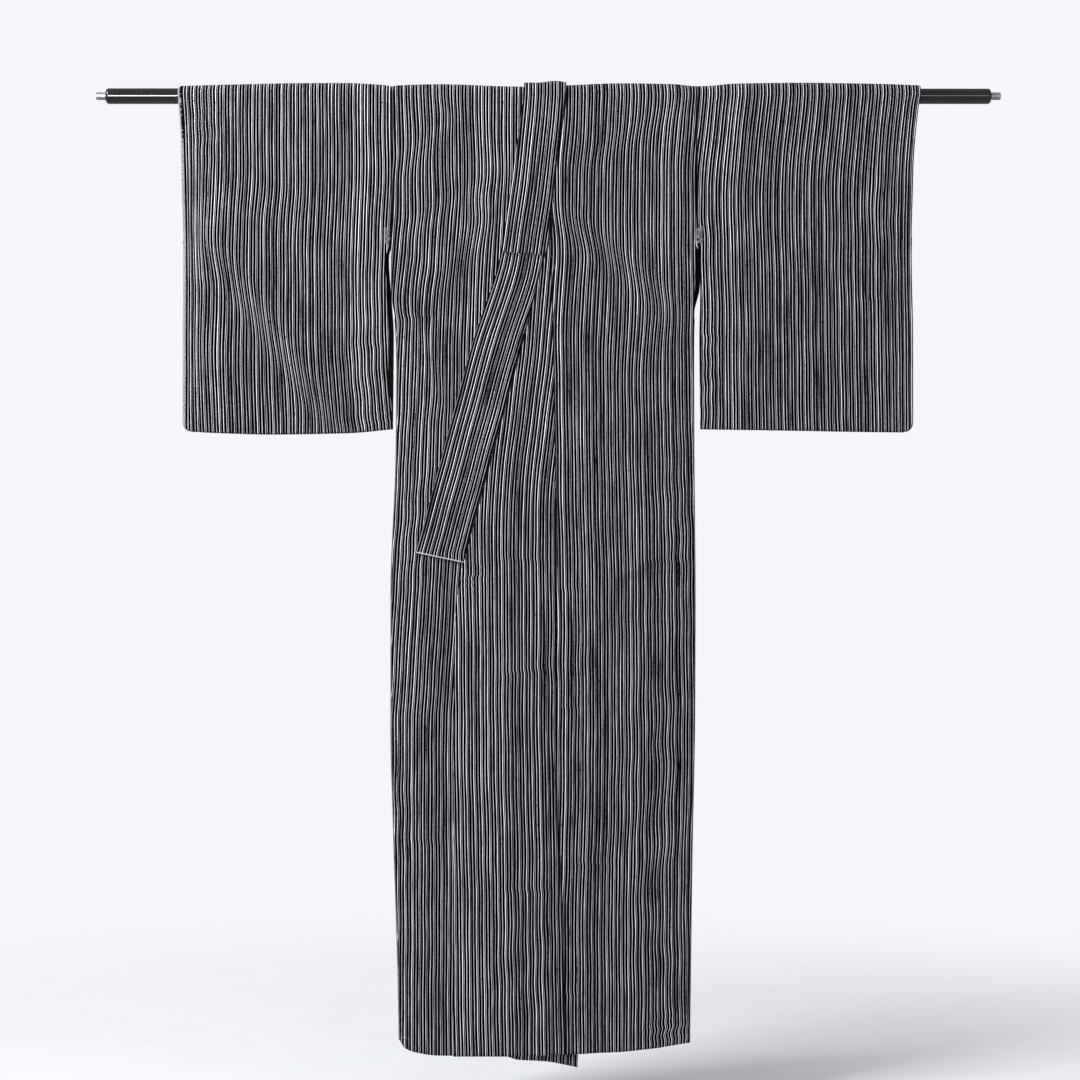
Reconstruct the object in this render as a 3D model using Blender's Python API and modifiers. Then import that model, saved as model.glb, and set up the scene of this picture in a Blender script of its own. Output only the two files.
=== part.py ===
"""A kimono hanging on a rod, each cut piece a thin solid wall.

Metres, +Z up. The origin is the middle of the rod's axis. The front faces -Y, and +X is the
wearer's left. Heights on the cloth are given as a drop, the distance below the rod's axis.
"""
import math
from typing import NamedTuple

import bmesh
import bpy
from mathutils import Vector

# The rod
ROD_RADIUS = 0.0127
ROD_HALF_LENGTH = 0.716
ROD_END_ROUND = 0.005
PEG_RADIUS = 0.0061
PEG_END = 0.7315

# Cloth walls and the spaces between them
CLOTH = 0.0020
COLLAR_CLOTH = 0.0024
OVERCOLLAR_CLOTH = 0.0012
SEAM_GAP = 0.0003
ROD_CLEARANCE = 0.0007
HANG = ROD_RADIUS + ROD_CLEARANCE + CLOTH / 2
SEAM_HALF = 0.0040
PINCH_WIDTH = 0.060

# How far each layer's middle stands in front of the under front's middle
UPPER_LEVEL = 0.0050
COLLAR_TOP_LEVEL = 0.0033
OVERCOLLAR_STEP = COLLAR_CLOTH / 2 + SEAM_GAP + 0.0002 + OVERCOLLAR_CLOTH / 2
UNDER_COLLAR_LEVEL = 0.0002
LEVEL_FADE = 0.030

# The cut
ARMHOLE_DROP = 0.235
SIDE_OPENING_END = 0.360
CUFF_DROP = 0.230
NECK_RIGHT = -0.0400
NECK_LEFT = 0.0292
BACK_NECK_DROP = 0.0450
BACK_NECK_CURVE = 0.0040
CENTRE_BACK = -0.0056
BODY_LENGTH = 1.550
SLEEVE_LENGTH = 0.545
OVERCOLLAR_END = 0.2603
COLLAR_END = 0.7550
COLLAR_SLANT = 0.0160
OKUMI_TOP = 0.190
OKUMI_TOP_WIDTH = 0.0022

# Mesh density
ARC_STEPS = 8
TURN_STEPS = 3
BODY_ROWS = (0.0, 0.015, 0.03, 0.06, 0.10, 0.145, 0.19, 0.235, 0.28, 0.33, 0.38, 0.43, 0.49, 0.55,
             0.61, 0.68, 0.755, 0.83, 0.90, 0.97, 1.04, 1.11, 1.18, 1.25, 1.32, 1.39, 1.45, 1.505, 1.55)
BODY_COLUMNS = (0.0, 0.04, 0.12, 0.24, 0.38, 0.53, 0.68, 0.84, 1.0)
SLEEVE_ROWS = (0.0, 0.02, 0.05, 0.09, 0.14, 0.19, 0.235, 0.28, 0.33, 0.38, 0.43, 0.48, 0.52, 0.545)
SLEEVE_COLUMNS = (0.0, 0.025, 0.075, 0.15, 0.26, 0.38, 0.5, 0.62, 0.74, 0.86, 0.94, 1.0)
BAND_COLUMNS = (0.0, 0.33, 0.67, 1.0)
OKUMI_COLUMNS = (0.0, 0.25, 0.5, 0.75, 1.0)
HEM_STRETCH_FROM = 0.83


class Side(NamedTuple):
    """The body's two side edges at one height."""
    drop: float
    right: float
    left: float


class Edge(NamedTuple):
    """Where an edge runs at one height."""
    drop: float
    x: float


class Hem(NamedTuple):
    """How far down a lower edge is at one place across."""
    x: float
    drop: float


class Loft(NamedTuple):
    """How high the shoulder fold stands above the rod at one place across."""
    x: float
    height: float


class Fold(NamedTuple):
    """A soft fold from one point to another: positive lift is a ridge, negative a trough."""
    x0: float
    drop0: float
    x1: float
    drop1: float
    half_width: float
    lift: float
    bow: float = 0.0


BODY_SIDES = (
    Side(0.000, -0.2532, 0.2395), Side(0.170, -0.2530, 0.2385), Side(0.270, -0.2525, 0.2370),
    Side(0.355, -0.2476, 0.2355), Side(0.440, -0.2455, 0.2350), Side(0.580, -0.2468, 0.2355),
    Side(0.810, -0.2549, 0.2374), Side(1.020, -0.2549, 0.2365), Side(1.190, -0.2508, 0.2331),
    Side(1.420, -0.2436, 0.2298), Side(1.550, -0.2411, 0.2282),
)
SLIT_BACK = (
    Edge(0.000, 0.2395), Edge(0.235, 0.2385), Edge(0.265, 0.2450), Edge(0.310, 0.2440),
    Edge(0.355, 0.2360), Edge(0.400, 0.2352),
)

# The upper front, which is the wearer's left
COLLAR_SEAM = (
    Edge(0.000, NECK_LEFT - SEAM_GAP), Edge(0.093, 0.0144), Edge(0.152, 0.0069), Edge(0.205, 0.0022),
    Edge(0.241, -0.0008), Edge(0.278, -0.0121), Edge(0.352, -0.0298), Edge(0.425, -0.0486),
    Edge(0.493, -0.0669), Edge(0.756, -0.1379),
)
COLLAR_FOLD = (
    Edge(0.000, -0.0395), Edge(0.093, -0.0524), Edge(0.215, -0.0708), Edge(0.277, -0.0819),
    Edge(0.389, -0.1189), Edge(0.522, -0.1560), Edge(0.740, -0.2137),
)
UPPER_FRONT_EDGE = (
    Edge(0.756, -0.1379), Edge(0.848, -0.1508), Edge(1.020, -0.1530), Edge(1.300, -0.1540),
    Edge(1.551, -0.1540),
)
UPPER_OKUMI_SEAM = (
    Edge(0.190, 0.0060), Edge(0.235, 0.0045), Edge(0.420, 0.0085), Edge(0.750, 0.0131),
    Edge(1.138, 0.0132), Edge(1.267, 0.0202), Edge(1.550, 0.0266),
)
UPPER_HEM = (
    Hem(-0.1540, 1.5507), Hem(-0.0718, 1.5507), Hem(0.0460, 1.5468), Hem(0.1153, 1.5443),
    Hem(0.1476, 1.5411), Hem(0.2282, 1.5314),
)

# The under front, which is the wearer's right
UNDER_COLLAR_SEAM = (
    Edge(0.000, -0.0396), Edge(0.120, -0.0260), Edge(0.235, -0.0095), Edge(0.380, 0.0240),
    Edge(0.756, 0.0863),
)
UNDER_COLLAR_FOLD = (
    Edge(0.000, 0.0215), Edge(0.030, 0.0215), Edge(0.090, 0.0330), Edge(0.235, 0.0580),
    Edge(0.380, 0.0920), Edge(0.740, 0.1620),
)
UNDER_FRONT_EDGE = (
    Edge(0.756, 0.0863), Edge(0.848, 0.0790), Edge(1.100, 0.0650), Edge(1.568, 0.0460),
)
UNDER_OKUMI_SEAM = (
    Edge(0.190, -0.0188), Edge(0.235, -0.0140), Edge(0.480, -0.0310), Edge(0.756, -0.0460),
    Edge(1.550, -0.1040),
)
UNDER_HEM = (
    Hem(-0.2411, 1.5250), Hem(-0.2320, 1.5400), Hem(-0.2153, 1.5460), Hem(-0.1750, 1.5500),
    Hem(-0.0718, 1.5507), Hem(-0.0500, 1.5568), Hem(-0.0080, 1.5590), Hem(0.0460, 1.5686),
)
BACK_HEM = (
    Hem(-0.2411, 1.5250), Hem(-0.2250, 1.5400), Hem(0.0000, 1.5430), Hem(0.2282, 1.5314),
)

# Sleeves
RIGHT_CUFF = (
    Edge(0.000, -0.5980), Edge(0.068, -0.5935), Edge(0.270, -0.5905), Edge(0.520, -0.5913),
    Edge(0.545, -0.5913),
)
RIGHT_FURI_FRONT = (
    Edge(0.000, -0.2535), Edge(0.235, -0.2532), Edge(0.265, -0.2621), Edge(0.339, -0.2605),
    Edge(0.396, -0.2573), Edge(0.468, -0.2589), Edge(0.509, -0.2540), Edge(0.545, -0.2524),
)
RIGHT_FURI_BACK = (
    Edge(0.000, -0.2535), Edge(0.235, -0.2532), Edge(0.265, -0.2589), Edge(0.339, -0.2540),
    Edge(0.396, -0.2508), Edge(0.468, -0.2511), Edge(0.545, -0.2516),
)
RIGHT_SLEEVE_HEM = (
    Hem(-0.5920, 0.5425), Hem(-0.4460, 0.5470), Hem(-0.3266, 0.5450), Hem(-0.2524, 0.5387),
)
LEFT_CUFF = (
    Edge(0.000, 0.6010), Edge(0.020, 0.5970), Edge(0.125, 0.5885), Edge(0.260, 0.5870),
    Edge(0.400, 0.5893), Edge(0.545, 0.5893),
)
LEFT_FURI_FRONT = (
    Edge(0.000, 0.2398), Edge(0.235, 0.2400), Edge(0.250, 0.2462), Edge(0.331, 0.2466),
    Edge(0.397, 0.2444), Edge(0.545, 0.2452),
)
LEFT_FURI_BACK = (
    Edge(0.000, 0.2398), Edge(0.235, 0.2400), Edge(0.262, 0.2466), Edge(0.331, 0.2462),
    Edge(0.397, 0.2448), Edge(0.545, 0.2460),
)
LEFT_SLEEVE_HEM = (
    Hem(0.2450, 0.5387), Hem(0.4000, 0.5410), Hem(0.5750, 0.5435), Hem(0.5900, 0.5435),
)
SLEEVE_CORNER = 0.013

# The shoulder fold's height above the rod, lowest at the seams
SHOULDER_LOFT = (
    Loft(-0.600, 0.0010), Loft(-0.498, 0.0038), Loft(-0.400, 0.0058), Loft(-0.328, 0.0060),
    Loft(-0.262, 0.0022), Loft(-0.2533, 0.0006), Loft(-0.244, 0.0020), Loft(-0.175, 0.0040),
    Loft(-0.078, 0.0008), Loft(-0.040, 0.0001), Loft(0.030, 0.0006), Loft(0.115, 0.0055),
    Loft(0.200, 0.0042), Loft(0.2396, 0.0008), Loft(0.256, 0.0010), Loft(0.301, 0.0050),
    Loft(0.406, 0.0064), Loft(0.535, 0.0046), Loft(0.600, 0.0022),
)
NECK_LOFT = 0.0012

BODY_FRONT_FOLDS = (
    Fold(-0.078, 0.12, -0.231, 0.36, 0.030, 0.0040),
    Fold(-0.115, 0.24, -0.240, 0.50, 0.025, -0.0025),
    Fold(0.010, 0.18, 0.225, 0.38, 0.028, 0.0045),
    Fold(0.010, 0.23, 0.150, 0.53, 0.024, -0.0025),
    Fold(0.012, 0.26, 0.080, 0.70, 0.022, 0.0030),
    Fold(0.148, 0.02, 0.075, 0.19, 0.030, 0.0030),
    Fold(0.148, 0.76, 0.135, 1.56, 0.036, 0.0045),
    Fold(-0.070, 0.84, -0.062, 1.56, 0.030, 0.0035),
    Fold(0.015, 0.80, 0.027, 1.58, 0.014, -0.0025),
    Fold(-0.205, 0.72, -0.222, 1.20, 0.022, 0.0030),
    Fold(-0.195, 1.10, -0.185, 1.58, 0.028, 0.0035),
    Fold(0.204, 0.52, 0.206, 1.02, 0.020, -0.0020),
)
BODY_BACK_FOLDS = (
    Fold(-0.060, 0.10, -0.215, 0.42, 0.030, 0.0040),
    Fold(0.050, 0.12, 0.205, 0.44, 0.030, 0.0040),
    Fold(-0.100, 0.45, -0.120, 1.57, 0.040, 0.0045),
    Fold(0.090, 0.50, 0.115, 1.57, 0.038, 0.0050),
    Fold(-0.010, 0.30, -0.004, 1.57, 0.022, -0.0030),
    Fold(-0.185, 0.70, -0.190, 1.50, 0.024, -0.0020),
    Fold(0.170, 0.62, 0.180, 1.48, 0.024, -0.0020),
)
RIGHT_SLEEVE_FOLDS = (
    Fold(-0.560, 0.16, -0.370, 0.58, 0.032, 0.0060, 0.030),
    Fold(-0.530, 0.16, -0.420, 0.23, 0.026, 0.0035),
    Fold(-0.274, 0.24, -0.270, 0.58, 0.014, 0.0040),
    Fold(-0.336, 0.04, -0.345, 0.50, 0.030, -0.0030),
    Fold(-0.470, 0.38, -0.455, 0.58, 0.025, -0.0030),
)
LEFT_SLEEVE_FOLDS = (
    Fold(0.350, 0.02, 0.275, 0.20, 0.026, 0.0030),
    Fold(0.341, 0.15, 0.350, 0.58, 0.030, 0.0050),
    Fold(0.535, 0.01, 0.528, 0.42, 0.024, 0.0040),
    Fold(0.452, 0.20, 0.462, 0.58, 0.026, -0.0040),
    Fold(0.262, 0.25, 0.264, 0.58, 0.013, 0.0030),
)


def smooth(value):
    """Ease from 0 to 1 over the same range, flat beyond it."""
    value = min(max(value, 0.0), 1.0)
    return value * value * (3.0 - 2.0 * value)


def read(table, key, column, at):
    """Read a column of a table at any key, on a smooth curve through its rows."""
    keys = [getattr(row, key) for row in table]
    values = [getattr(row, column) for row in table]
    if at <= keys[0]:
        return values[0]
    if at >= keys[-1]:
        return values[-1]
    place = max(i for i in range(len(keys) - 1) if keys[i] <= at)

    def slope(i):
        if i == 0 or i == len(keys) - 1:
            return 0.0
        before = (values[i] - values[i - 1]) / (keys[i] - keys[i - 1])
        after = (values[i + 1] - values[i]) / (keys[i + 1] - keys[i])
        if before * after <= 0.0:
            return 0.0
        return 2.0 * before * after / (before + after)

    span = keys[place + 1] - keys[place]
    t = (at - keys[place]) / span
    start, end = values[place], values[place + 1]
    if place == 0:
        slope_start = (end - start) / span
    else:
        slope_start = slope(place)
    if place == len(keys) - 2:
        slope_end = (end - start) / span
    else:
        slope_end = slope(place + 1)
    return ((2 * t ** 3 - 3 * t ** 2 + 1) * start + (t ** 3 - 2 * t ** 2 + t) * span * slope_start
            + (3 * t ** 2 - 2 * t ** 3) * end + (t ** 3 - t ** 2) * span * slope_end)


def edge_x(table, drop):
    """The place across of an edge at a height."""
    return read(table, "drop", "x", drop)


def hem_drop(table, x):
    """The depth of a lower edge at a place across."""
    return read(table, "x", "drop", x)


def fold_lift(folds, x, drop):
    """How far the folds carry the cloth outwards at one point."""
    total = 0.0
    for fold in folds:
        run = Vector((fold.x1 - fold.x0, fold.drop1 - fold.drop0))
        here = Vector((x - fold.x0, drop - fold.drop0))
        along = here.dot(run) / run.length_squared
        if not 0.0 < along < 1.0:
            continue
        across = (here.x * run.y - here.y * run.x) / run.length
        across -= fold.bow * 4.0 * along * (1.0 - along)
        fade = smooth(min(along, 1.0 - along) / 0.25)
        total += fold.lift * fade * math.exp(-(across / fold.half_width) ** 2)
    return total


def body_half_depth(x, drop):
    """Half the space between front and back, narrow at the closed side seams."""
    right = read(BODY_SIDES, "drop", "right", drop)
    left = read(BODY_SIDES, "drop", "left", drop)
    from_side = max(min(x - right, left - x), 0.0)
    closing = smooth((drop - SIDE_OPENING_END + 0.06) / 0.12)
    pinch = 1.0 - closing * (1.0 - smooth(from_side / PINCH_WIDTH))
    return SEAM_HALF + (HANG - SEAM_HALF) * pinch, pinch


def body_front(x, drop, level=0.0):
    """A point on a front layer that stands a level in front of the under front."""
    half, pinch = body_half_depth(x, drop)
    lift = fold_lift(BODY_FRONT_FOLDS, x, drop) * pinch * smooth(drop / 0.05)
    return Vector((x, -(half + level + lift), -drop))


def body_back(x, drop):
    """A point on the back."""
    half, pinch = body_half_depth(x, drop)
    lift = fold_lift(BODY_BACK_FOLDS, x, drop) * pinch * smooth(drop / 0.05)
    return Vector((x, half + lift, -drop))


def cover_edge(drop):
    """How far to the wearer's left the under front and its collar reach."""
    if drop < 0.74:
        return edge_x(UNDER_COLLAR_FOLD, drop)
    blend = smooth((drop - 0.74) / 0.06)
    return (1.0 - blend) * UNDER_COLLAR_FOLD[-1].x + blend * edge_x(UNDER_FRONT_EDGE, drop)


def upper_level(x, drop):
    """The upper front's level: full where it lies on the under front, none past its edge."""
    past = (x - cover_edge(drop) - 0.006) / LEVEL_FADE
    return UPPER_LEVEL * (1.0 - smooth(past)) * smooth(drop / 0.025)


def collar_level(drop):
    """The upper collar's level, tight over the rod and easier below."""
    return COLLAR_TOP_LEVEL + (UPPER_LEVEL - COLLAR_TOP_LEVEL) * smooth(drop / 0.06)


def over_rod(x, half, height, step):
    """A point of the shoulder fold, an arc over the rod from front to back."""
    angle = math.pi * step / ARC_STEPS
    return Vector((x, -half * math.cos(angle), height * math.sin(angle)))


def shoulder_height(x):
    """The height of the wall's middle over the rod's axis."""
    return HANG + read(SHOULDER_LOFT, "x", "height", x)


def loft(bm, rows):
    """Skin neighbouring rows of vertices with four-sided faces."""
    for row, following in zip(rows, rows[1:]):
        for a, b, c, d in zip(row, row[1:], following[1:], following):
            bm.faces.new((a, b, c, d))


def turn(bm, front, back, outward):
    """The vertices of a half round from a front vertex to a back one."""
    middle = (front.co + back.co) / 2
    radius = (front.co - back.co).length / 2
    toward_front = (front.co - middle).normalized()
    points = []
    for step in range(1, TURN_STEPS):
        angle = math.pi * step / TURN_STEPS
        offset = toward_front * math.cos(angle) + outward.normalized() * math.sin(angle)
        points.append(bm.verts.new(middle + offset * radius))
    return [front, *points, back]


def finish(name, bm, wall, material):
    """Make a mesh object of an open surface and give it its wall."""
    bmesh.ops.recalc_face_normals(bm, faces=bm.faces)
    mesh = bpy.data.meshes.new(name)
    bm.to_mesh(mesh)
    bm.free()
    piece = bpy.data.objects.new(name, mesh)
    collection.objects.link(piece)
    mesh.materials.append(material)
    mesh.shade_smooth()
    solid = piece.modifiers.new("Wall", "SOLIDIFY")
    solid.thickness = wall
    solid.offset = 0.0
    solid.use_even_offset = True
    solid.use_rim = True
    return piece


def folded_strip(bm, front, back, crest):
    """A strip that runs up the front, over the rod and down the back; rows run top to bottom."""
    rows = [[bm.verts.new(point) for point in row] for row in reversed(front)]
    rows += [[bm.verts.new(point) for point in row] for row in crest]
    rows += [[bm.verts.new(point) for point in row] for row in back]
    loft(bm, rows)
    return rows[:len(front)][::-1], rows[-len(back):]


def body_drop(row, hem):
    """A row's drop, with the lower rows stretched to reach the hem."""
    if row <= HEM_STRETCH_FROM:
        return row
    return HEM_STRETCH_FROM + (row - HEM_STRETCH_FROM) * (hem - HEM_STRETCH_FROM) / (
        BODY_LENGTH - HEM_STRETCH_FROM)


def body_row(row, outer, inner, hem_table, place):
    """A row across a body panel, from its side edge to its inner edge."""
    points = []
    for share in BODY_COLUMNS:
        guess = outer(row) + (inner(row) - outer(row)) * share
        drop = body_drop(row, hem_drop(hem_table, guess))
        x = outer(drop) + (inner(drop) - outer(drop)) * share
        points.append(place(x, drop))
    return points


def back_neck(drop, neck_x, centre_x):
    """The back's inner edge: the neck's edge at the top and the centre seam below."""
    return neck_x + (centre_x - neck_x) * smooth((drop - BACK_NECK_DROP - 0.0006) / BACK_NECK_CURVE)


def body_panel(name, material, front_row, back_row, side_x, neck_x, outward):
    """A body length: front and back joined over the shoulder and down the side seam."""
    bm = bmesh.new()
    front = [front_row(row) for row in BODY_ROWS]
    back = [back_row(row) for row in BODY_ROWS]
    crest = []
    for step in range(1, ARC_STEPS):
        across = [side_x + (neck_x - side_x) * share for share in BODY_COLUMNS]
        crest.append([over_rod(x, HANG, shoulder_height(x), step) for x in across])
    front_verts, back_verts = folded_strip(bm, front, back, crest)
    closed = [i for i, row in enumerate(BODY_ROWS) if row > SIDE_OPENING_END]
    loft(bm, [turn(bm, front_verts[i][0], back_verts[i][0], outward) for i in closed])
    return finish(name, bm, CLOTH, material)


def panel_right(material):
    """The wearer's right body length, whose front is the under layer."""
    def outer(drop):
        return read(BODY_SIDES, "drop", "right", drop)

    def inner_front(drop):
        if drop < OKUMI_TOP:
            return edge_x(UNDER_COLLAR_SEAM, drop) - SEAM_GAP
        return edge_x(UNDER_OKUMI_SEAM, drop) - SEAM_GAP / 2

    def inner_back(drop):
        return back_neck(drop, NECK_RIGHT, CENTRE_BACK - SEAM_GAP / 2)

    def front_row(row):
        return body_row(row, outer, inner_front, UNDER_HEM, body_front)

    def back_row(row):
        return body_row(back_drop(row), outer, inner_back, BACK_HEM, body_back)

    return body_panel("body_panel_right", material, front_row, back_row,
                      outer(0.0), NECK_RIGHT, Vector((-1, 0, 0)))


def panel_left(material):
    """The wearer's left body length, whose front is the upper layer."""
    def outer(drop):
        return read(BODY_SIDES, "drop", "left", drop)

    def outer_back(drop):
        if drop < SLIT_BACK[-1].drop:
            return edge_x(SLIT_BACK, drop)
        return outer(drop)

    def inner_front(drop):
        if drop < OKUMI_TOP:
            return edge_x(COLLAR_SEAM, drop) + SEAM_GAP
        return edge_x(UPPER_OKUMI_SEAM, drop) + SEAM_GAP / 2

    def inner_back(drop):
        return back_neck(drop, NECK_LEFT, CENTRE_BACK + SEAM_GAP / 2)

    def place(x, drop):
        return body_front(x, drop, upper_level(x, drop))

    def front_row(row):
        return body_row(row, outer, inner_front, UPPER_HEM, place)

    def back_row(row):
        return body_row(back_drop(row), outer_back, inner_back, BACK_HEM, body_back)

    return body_panel("body_panel_left", material, front_row, back_row,
                      outer(0.0), NECK_LEFT, Vector((1, 0, 0)))


def back_drop(row):
    """The back's rows, with two drawn up to the neck's edge."""
    if row == BODY_ROWS[3]:
        return BACK_NECK_DROP + 0.0006
    if row == BODY_ROWS[4]:
        return BACK_NECK_DROP + 0.0006 + BACK_NECK_CURVE
    return row


def okumi(name, material, collar_edge, front_edge, seam, side, hem_table, level):
    """An overlap panel, from the collar and the front edge to its seam with the body panel."""
    bm = bmesh.new()
    rows = []
    for row in [row for row in BODY_ROWS if row >= OKUMI_TOP]:
        points = []
        for share in OKUMI_COLUMNS:
            if row <= 0.756:
                outer = edge_x(collar_edge, row) + side * SEAM_GAP
            else:
                outer = edge_x(front_edge, row)
            inner = edge_x(seam, row) - side * SEAM_GAP / 2
            if side * (inner - outer) < OKUMI_TOP_WIDTH - SEAM_GAP:
                outer = inner - side * (OKUMI_TOP_WIDTH - SEAM_GAP)
            x = outer + (inner - outer) * share
            points.append((x, body_drop(row, hem_drop(hem_table, x))))
        rows.append([bm.verts.new(body_front(x, drop, level(x, drop))) for x, drop in points])
    loft(bm, rows)
    return finish(name, bm, CLOTH, material)


def band_rows(fold_edge, seam_edge, level, end, extra):
    """The rows of a collar band, from its lower end over the rod to the back of the neck."""
    rows = []
    drops = [row for row in BODY_ROWS if row < end] + [end]
    for drop in reversed(drops):
        fold_drop = drop - COLLAR_SLANT * drop / COLLAR_END
        row = []
        for share in BAND_COLUMNS:
            x = edge_x(fold_edge, fold_drop) * (1.0 - share) + edge_x(seam_edge, drop) * share
            here = fold_drop * (1.0 - share) + drop * share
            row.append(body_front(x, here, level(here) + extra))
        rows.append(row)
    start, finish_x = edge_x(fold_edge, 0.0), edge_x(seam_edge, 0.0)
    across = [start + (finish_x - start) * share for share in BAND_COLUMNS]
    radius = HANG + level(0.0) + extra
    for step in range(1, ARC_STEPS + 1):
        rows.append([over_rod(x, radius, radius + NECK_LOFT, step) for x in across])
    for share in (0.5, 1.0):
        rows.append([Vector((x, radius, -BACK_NECK_DROP * share)) for x in across])
    return rows


def band(name, material, wall, rows):
    """A collar band as one strip."""
    bm = bmesh.new()
    loft(bm, [[bm.verts.new(point) for point in row] for row in rows])
    return finish(name, bm, wall, material)


def sleeve(name, material, cuff, furi_front, furi_back, hem_table, folds, side):
    """A sleeve: one strip over the rod, sewn at the bottom and under the cuff."""
    def half_depth(x, drop, inner):
        length = hem_drop(hem_table, x)
        from_cuff = abs(x - edge_x(cuff, drop))
        free = drop / length
        sewn = max((drop - ARMHOLE_DROP) / (length - ARMHOLE_DROP), 0.0)
        near_seam = 1.0 - smooth(abs(inner - x) / 0.12)
        closing = free ** 2 * (1.0 - near_seam) + sewn ** 2 * near_seam
        under_cuff = smooth((drop - CUFF_DROP + 0.10) / 0.12) * (1.0 - smooth(from_cuff / 0.05))
        return SEAM_HALF + (HANG - SEAM_HALF) * (1.0 - closing) * (1.0 - under_cuff)

    def corner(x, drop, share):
        length = hem_drop(hem_table, x)
        above = length - drop
        if above >= SLEEVE_CORNER:
            return x
        inset = SLEEVE_CORNER - math.sqrt(max(SLEEVE_CORNER ** 2 - (SLEEVE_CORNER - above) ** 2, 0.0))
        return x - side * inset * (1.0 - smooth(share / 0.12))

    def place(row, share, furi, facing):
        x = edge_x(cuff, row) + (edge_x(furi, row) - edge_x(cuff, row)) * share
        length = hem_drop(hem_table, x)
        drop = row * (length - SEAM_HALF * 0.9) / SLEEVE_LENGTH
        x = corner(x, drop + SEAM_HALF, share)
        half = half_depth(x, drop, edge_x(furi, row))
        swing = fold_lift(folds, x, drop) * smooth(drop / 0.05)
        return Vector((x, -facing * half - swing, -drop))

    bm = bmesh.new()
    front = [[place(row, share, furi_front, 1) for share in SLEEVE_COLUMNS] for row in SLEEVE_ROWS]
    back = [[place(row, share, furi_back, -1) for share in SLEEVE_COLUMNS] for row in SLEEVE_ROWS]
    crest = []
    for step in range(1, ARC_STEPS):
        crest.append([over_rod(point.x, HANG, shoulder_height(point.x), step) for point in front[0]])
    front_verts, back_verts = folded_strip(bm, front, back, crest)
    last = len(SLEEVE_ROWS) - 1
    closed = [i for i, row in enumerate(SLEEVE_ROWS) if row >= CUFF_DROP]
    down = Vector((0, 0, -1))
    outward = Vector((side, 0, 0))
    side_turns = [turn(bm, front_verts[i][0], back_verts[i][0], outward) for i in closed[:-1]]
    side_turns.append(turn(bm, front_verts[last][0], back_verts[last][0], outward + down))
    loft(bm, side_turns)
    bottom = [side_turns[-1]]
    for j in range(1, len(SLEEVE_COLUMNS)):
        bottom.append(turn(bm, front_verts[last][j], back_verts[last][j], down))
    loft(bm, bottom)
    return finish(name, bm, CLOTH, material)


def rod(material):
    """The rod: a profile turned about its axis, with rounded shoulders and a peg at each end."""
    half = [(0.0, PEG_END), (PEG_RADIUS, PEG_END), (PEG_RADIUS, ROD_HALF_LENGTH)]
    for step in range(4):
        angle = math.pi / 2 * step / 3
        half.append((ROD_RADIUS - ROD_END_ROUND * (1 - math.sin(angle)),
                     ROD_HALF_LENGTH - ROD_END_ROUND * (1 - math.cos(angle))))
    profile = half + [(radius, -height) for radius, height in reversed(half)]
    mesh = bpy.data.meshes.new("rod")
    edges = [(i, i + 1) for i in range(len(profile) - 1)]
    mesh.from_pydata([(radius, 0.0, height) for radius, height in profile], edges, [])
    piece = bpy.data.objects.new("rod", mesh)
    collection.objects.link(piece)
    mesh.materials.append(material)
    turned = piece.modifiers.new("Turned", "SCREW")
    turned.steps = 32
    turned.render_steps = 32
    turned.use_merge_vertices = True
    turned.merge_threshold = 0.0001
    turned.use_smooth_shade = False
    piece.rotation_euler = (0.0, math.pi / 2, 0.0)
    return piece


def surface(name, colour, roughness, metallic=0.0):
    """A plain Principled material."""
    material = bpy.data.materials.new(name)
    material.use_nodes = True
    shader = material.node_tree.nodes["Principled BSDF"]
    shader.inputs["Base Color"].default_value = (*colour, 1.0)
    shader.inputs["Roughness"].default_value = roughness
    shader.inputs["Metallic"].default_value = metallic
    return material


for old in list(bpy.data.objects):
    bpy.data.objects.remove(old, do_unlink=True)

collection = bpy.data.collections.new("kimono_on_rod")
bpy.context.scene.collection.children.link(collection)

striped = surface("striped_cloth", (0.16, 0.16, 0.17), 0.85)
lacquer = surface("black_lacquer", (0.02, 0.02, 0.022), 0.25)

panel_right(striped)
panel_left(striped)
okumi("okumi_left", striped, COLLAR_SEAM, UPPER_FRONT_EDGE, UPPER_OKUMI_SEAM, 1, UPPER_HEM, upper_level)
okumi("okumi_right", striped, UNDER_COLLAR_SEAM, UNDER_FRONT_EDGE, UNDER_OKUMI_SEAM, -1, UNDER_HEM,
      lambda x, drop: 0.0)
sleeve("sleeve_right", striped, RIGHT_CUFF, RIGHT_FURI_FRONT, RIGHT_FURI_BACK, RIGHT_SLEEVE_HEM,
       RIGHT_SLEEVE_FOLDS, -1)
sleeve("sleeve_left", striped, LEFT_CUFF, LEFT_FURI_FRONT, LEFT_FURI_BACK, LEFT_SLEEVE_HEM,
       LEFT_SLEEVE_FOLDS, 1)
band("collar_left", striped, COLLAR_CLOTH,
     band_rows(COLLAR_FOLD, COLLAR_SEAM, collar_level, COLLAR_END, 0.0))
band("collar_right", striped, COLLAR_CLOTH,
     band_rows(UNDER_COLLAR_FOLD, UNDER_COLLAR_SEAM, lambda drop: UNDER_COLLAR_LEVEL, COLLAR_END, 0.0))
band("overcollar", striped, OVERCOLLAR_CLOTH,
     band_rows(COLLAR_FOLD, COLLAR_SEAM, collar_level, OVERCOLLAR_END, OVERCOLLAR_STEP))
rod(lacquer)
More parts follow.
